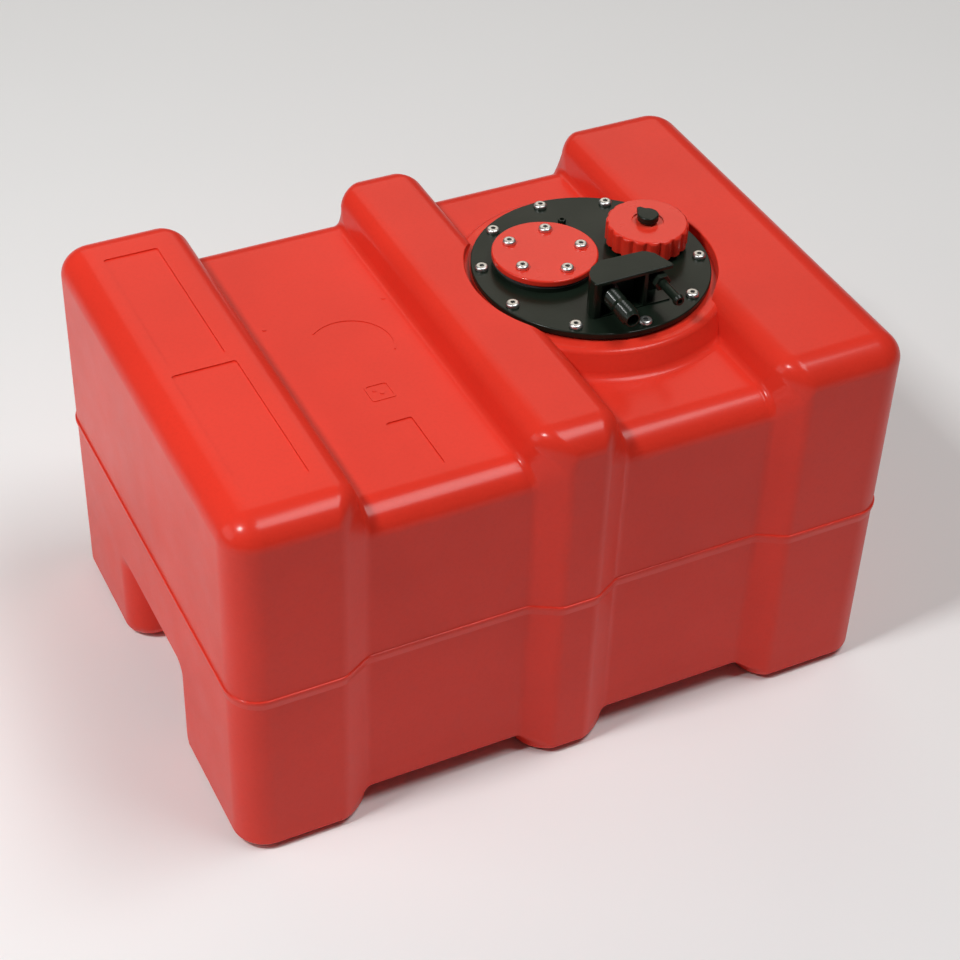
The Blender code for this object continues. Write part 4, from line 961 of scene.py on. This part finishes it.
def make_plate(material, flange_screws, cover_screws):
    """Flange moulding: disc, spigot, sender boss, filler neck, hood and peg."""
    centre = (FLANGE_X, 0)
    spigot_low = PLATE_BOTTOM - SPIGOT_HEIGHT
    outline = [
        (0, PLATE_TOP),
        (PLATE_RADIUS, PLATE_TOP),
        (PLATE_RADIUS, PLATE_BOTTOM),
        (SPIGOT_RADIUS, PLATE_BOTTOM),
        (SPIGOT_RADIUS, spigot_low),
        (SPIGOT_RADIUS - SPIGOT_WALL, spigot_low),
        (SPIGOT_RADIUS - SPIGOT_WALL, PLATE_BOTTOM),
        (0, PLATE_BOTTOM),
    ]
    plate = revolved("flange_moulding", softened(outline, PLATE_EDGE), WIDE_SEGMENTS, centre)
    middle = (PLATE_BOTTOM + PLATE_TOP) / 2
    peg_top = PLATE_TOP + PEG_HEIGHT
    boss = stub_profile(COVER_BOSS_RADIUS, middle, COVER_BOSS_TOP)
    join(plate, revolved("cover_boss", boss, ROUND_SEGMENTS, COVER_CENTRE))
    neck = stub_profile(NECK_RADIUS, middle, NECK_TOP)
    join(plate, revolved("filler_neck", neck, ROUND_SEGMENTS, CAP_CENTRE))
    join(plate, make_hood())
    peg = stub_profile(PEG_RADIUS, middle, peg_top)
    join(plate, revolved("peg", peg, SMALL_SEGMENTS, PEG_PLACE))
    low = peg_top - PEG_DIMPLE_DEPTH
    high = peg_top + OVERRUN
    cut(plate, disc_cutter("dimple", PEG_DIMPLE_RADIUS, low, high, SMALL_SEGMENTS, PEG_PLACE))
    low = spigot_low - OVERRUN
    high = NECK_TOP + OVERRUN
    cut(plate, disc_cutter("neck_bore", NECK_BORE_RADIUS, low, high, ROUND_SEGMENTS, CAP_CENTRE))
    high = COVER_BOSS_TOP + OVERRUN
    hole = disc_cutter("sender_hole", SENDER_HOLE_RADIUS, low, high, ROUND_SEGMENTS, COVER_CENTRE)
    cut(plate, hole)
    screw_holes(plate, flange_screws + cover_screws, low, high)
    for x, level, radius in (
        (BREATHER_X, BREATHER_LEVEL, BREATHER_SHANK_RADIUS),
        (FUEL_X, FUEL_LEVEL, FUEL_SHANK_RADIUS),
    ):
        reach = SHANK_LENGTH + 2 * CLEARANCE
        port = disc_cutter("port", radius + CLEARANCE, -reach, OVERRUN, SMALL_SEGMENTS)
        lay_forward(port, x, level)
        cut(plate, port)
        drop_y = HOOD_PORT_FACE + SHANK_LENGTH + CLEARANCE
        cut(plate, disc_cutter("passage", PASSAGE_RADIUS, low, level, SMALL_SEGMENTS, (x, drop_y)))
    finished(plate, material, "tank", "black_nylon", "flange_plate")


def make_cover(material, screws):
    """Sender's blanking cover: a disc with a rounded rim and a hole for each of its screws."""
    outline = [
        (0, COVER_TOP),
        (COVER_RADIUS, COVER_TOP),
        (COVER_RADIUS, COVER_BOTTOM),
        (0, COVER_BOTTOM),
    ]
    profile = softened(outline, COVER_EDGE, steps=ARC_STEPS)
    cover = revolved("cover_disc", profile, WIDE_SEGMENTS, COVER_CENTRE)
    screw_holes(cover, screws, COVER_BOTTOM - OVERRUN, COVER_TOP + OVERRUN)
    finished(cover, material, "tank", "red_polyethylene", "sender_cover")


def make_cover_gasket(material, screws):
    """Gasket whose edge shows under the cover."""
    inner = SENDER_HOLE_RADIUS + 2 * CLEARANCE
    outline = [
        (inner, COVER_GASKET_TOP),
        (COVER_GASKET_RADIUS, COVER_GASKET_TOP),
        (COVER_GASKET_RADIUS, COVER_GASKET_BOTTOM),
        (inner, COVER_GASKET_BOTTOM),
    ]
    profile = softened(outline, FINE_EDGE, closed=True)
    ring = revolved("cover_gasket_ring", profile, WIDE_SEGMENTS, COVER_CENTRE, closed=True)
    screw_holes(ring, screws, COVER_GASKET_BOTTOM - OVERRUN, COVER_GASKET_TOP + OVERRUN)
    finished(ring, material, "tank", "seal_rubber", "sender_gasket")


def make_screw(node, length, turn, material):
    """Button head screw with a hexagon socket, over the CAD screw's place."""
    place = node_middle(node)
    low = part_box(node)[1].z - HEAD_HEIGHT
    top = low + HEAD_HEIGHT
    outline = [(0, top)]
    for along, up in reversed(arc((0, 0), 1, 0, 90)):
        radius = HEAD_CROWN_RADIUS + (HEAD_RADIUS - HEAD_CROWN_RADIUS) * along
        outline.append((radius, low + HEAD_RIM + (HEAD_HEIGHT - HEAD_RIM) * up))
    foot = low - length
    outline += [(HEAD_RADIUS, low), (SHANK_RADIUS, low), (SHANK_RADIUS, foot), (0, foot)]
    screw = revolved(node + "_bright", outline, SMALL_SEGMENTS, place)
    floor = top - SOCKET_DEPTH
    above = top + FINE_EDGE
    hollow = [
        (0, floor),
        (SOCKET_RADIUS, floor),
        (SOCKET_RADIUS, top - FINE_EDGE),
        (SOCKET_RADIUS + FINE_EDGE, above),
        (0, above),
    ]
    socket = revolved("socket", hollow, HEX_SIDES)
    socket.matrix_world = Matrix.Translation((*place, 0)) @ Matrix.Rotation(turn, 4, "Z")
    cut(screw, socket)
    finished(screw, material, "tank", "stainless_steel", node)


# Cap and vent


def cap_radius(angle, radius, share):
    """Radius of the cap's skirt: broad lobes with a narrow flute between each two."""
    wave = (1 + math.cos(CAP_LOBES * angle)) / 2
    return radius - LOBE_DEPTH * share * wave**3


def make_cap(material):
    """Filler cap: lobed skirt with a rounded top edge, a dished top, hollow below."""
    count = CAP_LOBES * POINTS_PER_LOBE
    # Height, how far the skirt draws in, and the flutes' share of their depth
    levels = [(CAP_BOTTOM, SOFT_EDGE, 1), (CAP_BOTTOM + SOFT_EDGE, 0, 1)]
    for step in range(ARC_STEPS + 1):
        angle = math.radians(90) * step / ARC_STEPS
        draw_in = CAP_EDGE_RADIUS * (1 - math.cos(angle))
        level = CAP_TOP - CAP_EDGE_RADIUS * (1 - math.sin(angle))
        levels.append((level, draw_in, 1 - step / ARC_STEPS))
    build = bmesh.new()
    loops = []
    for level, draw_in, share in levels:
        loop = []
        for index in range(count):
            angle = math.tau * index / count
            radius = cap_radius(angle, CAP_RADIUS - draw_in, share)
            x = CAP_CENTRE[0] + radius * math.cos(angle)
            y = CAP_CENTRE[1] + radius * math.sin(angle)
            loop.append(build.verts.new((x, y, level)))
        loops.append(loop)
    skin(build, loops)
    build.faces.new(loops[0])
    build.faces.new(loops[-1])
    cap = object_from("cap_moulding", build)
    low = CAP_BOTTOM - OVERRUN
    high = CAP_TOP + OVERRUN
    space = disc_cutter("inside", CAP_INSIDE_RADIUS, low, CAP_CEILING, ROUND_SEGMENTS, CAP_CENTRE)
    cut(cap, space)
    dish = stub_profile(DISH_RADIUS, CAP_TOP - DISH_DEPTH, high)
    cut(cap, revolved("dish", dish, ROUND_SEGMENTS, CAP_CENTRE))
    hole = VENT_SHAFT_RADIUS + CLEARANCE
    cut(cap, disc_cutter("vent_hole", hole, CAP_BOTTOM, high, SMALL_SEGMENTS, CAP_CENTRE))
    finished(cap, material, "cap", "red_polyethylene", "filler_cap")


def make_vent(material):
    """Vent screw: knob with its pointer, shaft and the disc that holds it in the cap."""
    high = VENT_LOW + VENT_HEIGHT
    shaft_low = VENT_LOW - VENT_SHAFT_LENGTH
    disc_high = shaft_low + VENT_DISC_THICKNESS
    outline = [
        (0, high),
        (VENT_RADIUS, high),
        (VENT_RADIUS, VENT_LOW),
        (VENT_SHAFT_RADIUS, VENT_LOW),
        (VENT_SHAFT_RADIUS, disc_high),
        (VENT_DISC_RADIUS, disc_high),
        (VENT_DISC_RADIUS, shaft_low),
        (0, shaft_low),
    ]
    knob = revolved("vent_knob", softened(outline, VENT_EDGE), ROUND_SEGMENTS, CAP_CENTRE)
    tangent = math.acos((VENT_RADIUS - VENT_POINTER_RADIUS) / VENT_POINTER_LENGTH)
    reach = VENT_POINTER_LENGTH - VENT_POINTER_RADIUS
    tip = arc((reach, 0), VENT_POINTER_RADIUS, -math.degrees(tangent), math.degrees(tangent))
    root = VENT_RADIUS - VENT_EDGE
    flank = (root * math.cos(tangent), root * math.sin(tangent))
    turned = Matrix.Rotation(VENT_POINTER_ANGLE, 2)
    outline = []
    for point in [(flank[0], -flank[1])] + tip + [flank, (-VENT_EDGE, 0)]:
        outline.append(turned @ Vector(point) + Vector(CAP_CENTRE))
    join(knob, prism("pointer", outline, VENT_LOW + VENT_EDGE, high - VENT_EDGE / 2, SOFT_EDGE))
    finished(knob, material, "vent", "black_nylon", "vent_screw")


# Hose tails


def lay_forward(item, x, level):
    """Lay a piece turned about Z so that its top points to -Y, from the hood's port face."""
    turn = Matrix.Rotation(math.radians(90), 4, "X")
    item.data.transform(Matrix.Translation((x, HOOD_PORT_FACE, level)) @ turn)


def make_breather(material):
    """Breather hose tail: shank, collar, neck and two groups of ribs."""
    collar_high = TAIL_GAP + BREATHER_COLLAR_LENGTH
    line = [
        (BREATHER_SHANK_RADIUS, -SHANK_LENGTH),
        (BREATHER_SHANK_RADIUS, TAIL_GAP),
        (BREATHER_COLLAR_RADIUS, TAIL_GAP),
        (BREATHER_COLLAR_RADIUS, collar_high),
        (BREATHER_ROOT_RADIUS, collar_high),
    ]
    place = collar_high + BREATHER_NECK_LENGTH
    for group in range(2):
        for _ in range(RIB_COUNT):
            line.append((BREATHER_ROOT_RADIUS, place))
            line.append((BREATHER_RADIUS, place + RIB_PITCH * RIB_RISE_SHARE))
            place += RIB_PITCH
        line.append((BREATHER_ROOT_RADIUS, place))
        place += RIB_GROUP_GAP if group == 0 else BREATHER_TIP_LENGTH
    line.append((BREATHER_BORE + BREATHER_EDGE, place))
    line += [
        (BREATHER_BORE, place),
        (BREATHER_BORE, collar_high),
        (BREATHER_SHANK_BORE, TAIL_GAP),
        (BREATHER_SHANK_BORE, -SHANK_LENGTH),
    ]
    soft = softened(line, FINE_EDGE, closed=True)
    tail = revolved("breather_spigot", soft, ROUND_SEGMENTS, closed=True)
    lay_forward(tail, BREATHER_X, BREATHER_LEVEL)
    finished(tail, material, "tank", "black_nylon", "breather_tail")


def make_fuel_tail(material):
    """Fuel hose tail: shank, collar, hexagon, tube and flared tip."""
    collar_high = TAIL_GAP + FUEL_COLLAR_LENGTH
    hex_high = collar_high + FUEL_HEX_LENGTH
    middle = (collar_high + hex_high) / 2
    flare_low = hex_high + FUEL_TUBE_LENGTH - FUEL_FLARE_LENGTH
    flare_high = flare_low + FUEL_FLARE_LENGTH
    edge = FUEL_FLARE_EDGE
    line = [
        (FUEL_SHANK_RADIUS, -SHANK_LENGTH),
        (FUEL_SHANK_RADIUS, TAIL_GAP),
        (FUEL_COLLAR_RADIUS, TAIL_GAP),
        (FUEL_COLLAR_RADIUS, middle),
        (FUEL_RADIUS, middle),
        (FUEL_RADIUS, flare_low),
        (FUEL_FLARE_RADIUS, flare_low + edge),
        (FUEL_FLARE_RADIUS, flare_high - 2 * edge),
        (FUEL_RADIUS, flare_high),
        (FUEL_BORE, flare_high),
        (FUEL_BORE, -SHANK_LENGTH),
    ]
    soft = softened(line, FINE_EDGE, closed=True)
    tail = revolved("fuel_spigot", soft, SMALL_SEGMENTS, closed=True)
    nut_line = [
        (FUEL_HEX_BORE, collar_high),
        (FUEL_HEX_RADIUS - FUEL_HEX_EDGE, collar_high),
        (FUEL_HEX_RADIUS, collar_high + FUEL_HEX_EDGE),
        (FUEL_HEX_RADIUS, hex_high - FUEL_HEX_EDGE),
        (FUEL_HEX_RADIUS - FUEL_HEX_EDGE, hex_high),
        (FUEL_HEX_BORE, hex_high),
    ]
    join(tail, revolved("fuel_hex", nut_line, HEX_SIDES, closed=True))
    lay_forward(tail, FUEL_X, FUEL_LEVEL)
    finished(tail, material, "tank", "black_nylon", "fuel_tail")


# Stage


def make_camera():
    """The photograph's view."""
    data = bpy.data.cameras.new("camera")
    data.lens = CAMERA_LENS
    data.sensor_width = CAMERA_SENSOR
    data.clip_end = CAMERA_FAR
    camera = bpy.data.objects.new("camera", data)
    columns = (Vector(CAMERA_RIGHT), -Vector(CAMERA_DOWN), -Vector(CAMERA_FORWARD))
    turn = Matrix(columns).transposed().to_4x4()
    camera.matrix_world = Matrix.Translation(CAMERA_PLACE) @ turn
    bpy.context.scene.collection.objects.link(camera)
    bpy.context.scene.camera = camera


def make_floor(material):
    """Wide pale floor at the level of the tank's base."""
    build = bmesh.new()
    half = FLOOR_HALF
    corners = ((-half, -half), (half, -half), (half, half), (-half, half))
    build.faces.new([build.verts.new((x, y, 0)) for x, y in corners])
    floor = object_from("floor", build)
    floor.data.materials.append(material)


def soft_light(name, direction, distance, size, power, colour=(1, 1, 1)):
    """Rectangular softbox that faces the tank's middle from a direction."""
    data = bpy.data.lights.new(name, "AREA")
    data.shape = "RECTANGLE"
    data.size, data.size_y = size
    data.energy = power
    data.color = colour
    light = bpy.data.objects.new(name, data)
    target = Vector((0, 0, TANK_HEIGHT / 2))
    place = target + Vector(direction).normalized() * distance
    light.location = place
    light.rotation_euler = (target - place).to_track_quat("-Z", "Y").to_euler()
    bpy.context.scene.collection.objects.link(light)


def make_world():
    """Even surroundings: pale behind the floor's horizon, dim as a light."""
    world = bpy.data.worlds.new("studio")
    world.use_nodes = True
    nodes = world.node_tree.nodes
    links = world.node_tree.links
    background = nodes["Background"]
    background.inputs["Strength"].default_value = WORLD_STRENGTH
    background.inputs["Color"].default_value = WHITE
    backdrop = nodes.new("ShaderNodeBackground")
    backdrop.inputs["Strength"].default_value = BACKDROP_STRENGTH
    backdrop.inputs["Color"].default_value = WHITE
    mix = nodes.new("ShaderNodeMixShader")
    _, first, second = mix.inputs
    links.new(nodes.new("ShaderNodeLightPath").outputs["Is Camera Ray"], mix.inputs["Fac"])
    links.new(background.outputs["Background"], first)
    links.new(backdrop.outputs["Background"], second)
    links.new(mix.outputs["Shader"], nodes["World Output"].inputs["Surface"])
    bpy.context.scene.world = world


red = moulded(
    "red_polyethylene_moulded",
    RED,
    roughness=0.42,
    grain=0.00005,
    wave=0.0008,
    worn=RED_WORN,
)
glossy = moulded(
    "red_polyethylene_gloss",
    GLOSSY_RED,
    roughness=0.30,
    grain=0.00002,
    wave=0.0001,
    worn=GLOSSY_RED_WORN,
    specular=0.15,
    coat=0.45,
    coat_roughness=0.10,
)
# Its base colour carries a greenish painted reflection
black = moulded(
    "black_nylon_moulded",
    BLACK_WITH_PAINTED_REFLECTION,
    roughness=0.34,
    grain=0.00004,
    wave=0.0002,
    worn=BLACK_WORN,
    specular=0.15,
    coat=0.2,
    coat_roughness=0.15,
)
steel = metal("stainless_turned", STEEL, METAL_ROUGHNESS)
brass = metal("brass_turned", BRASS, METAL_ROUGHNESS)
seal = rubber("seal_rubber_dull", SEAL)
strainer = moulded(
    "strainer_plastic_moulded",
    STRAINER,
    roughness=0.5,
    grain=0.00004,
    wave=0.0002,
    worn=STRAINER_WORN,
)

flange_screws = [f"flange_screw_{index:02d}" for index in range(1, SCREW_COUNT + 1)]
cover_screws = [f"cover_screw_{index:02d}" for index in range(1, COVER_SCREW_COUNT + 1)]

make_tank(red)
make_plate(black, flange_screws, cover_screws)
make_cover(glossy, cover_screws)
make_cover_gasket(seal, cover_screws)
for names, length in ((flange_screws, FLANGE_SCREW_LENGTH), (cover_screws, COVER_SCREW_LENGTH)):
    for index, name in enumerate(names, start=1):
        make_screw(name, length, index * SCREW_TURN, steel)
make_cap(glossy)
make_vent(black)
make_breather(black)
make_fuel_tail(black)

# CAD nodes that keep their own meshes, and the finish that each takes. The inserts take brass.
carried = {
    "flange_gasket": seal,
    "cap_seal": seal,
    "vent_seal": seal,
    "breather_seal": seal,
    "fuel_seal": seal,
    "pickup_tube": black,
    "pickup_strainer": strainer,
}
for node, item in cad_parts.items():
    finish = brass if "_insert_" in node else carried.get(node)
    if finish:
        for material_slot in item.material_slots:
            material_slot.material = finish

make_floor(floor_finish())
make_camera()
make_world()
for name, values in LIGHTS.items():
    soft_light(name, *values)
# The colours are chosen for this transform: the default one washes the red out
bpy.context.scene.view_settings.view_transform = "Standard"
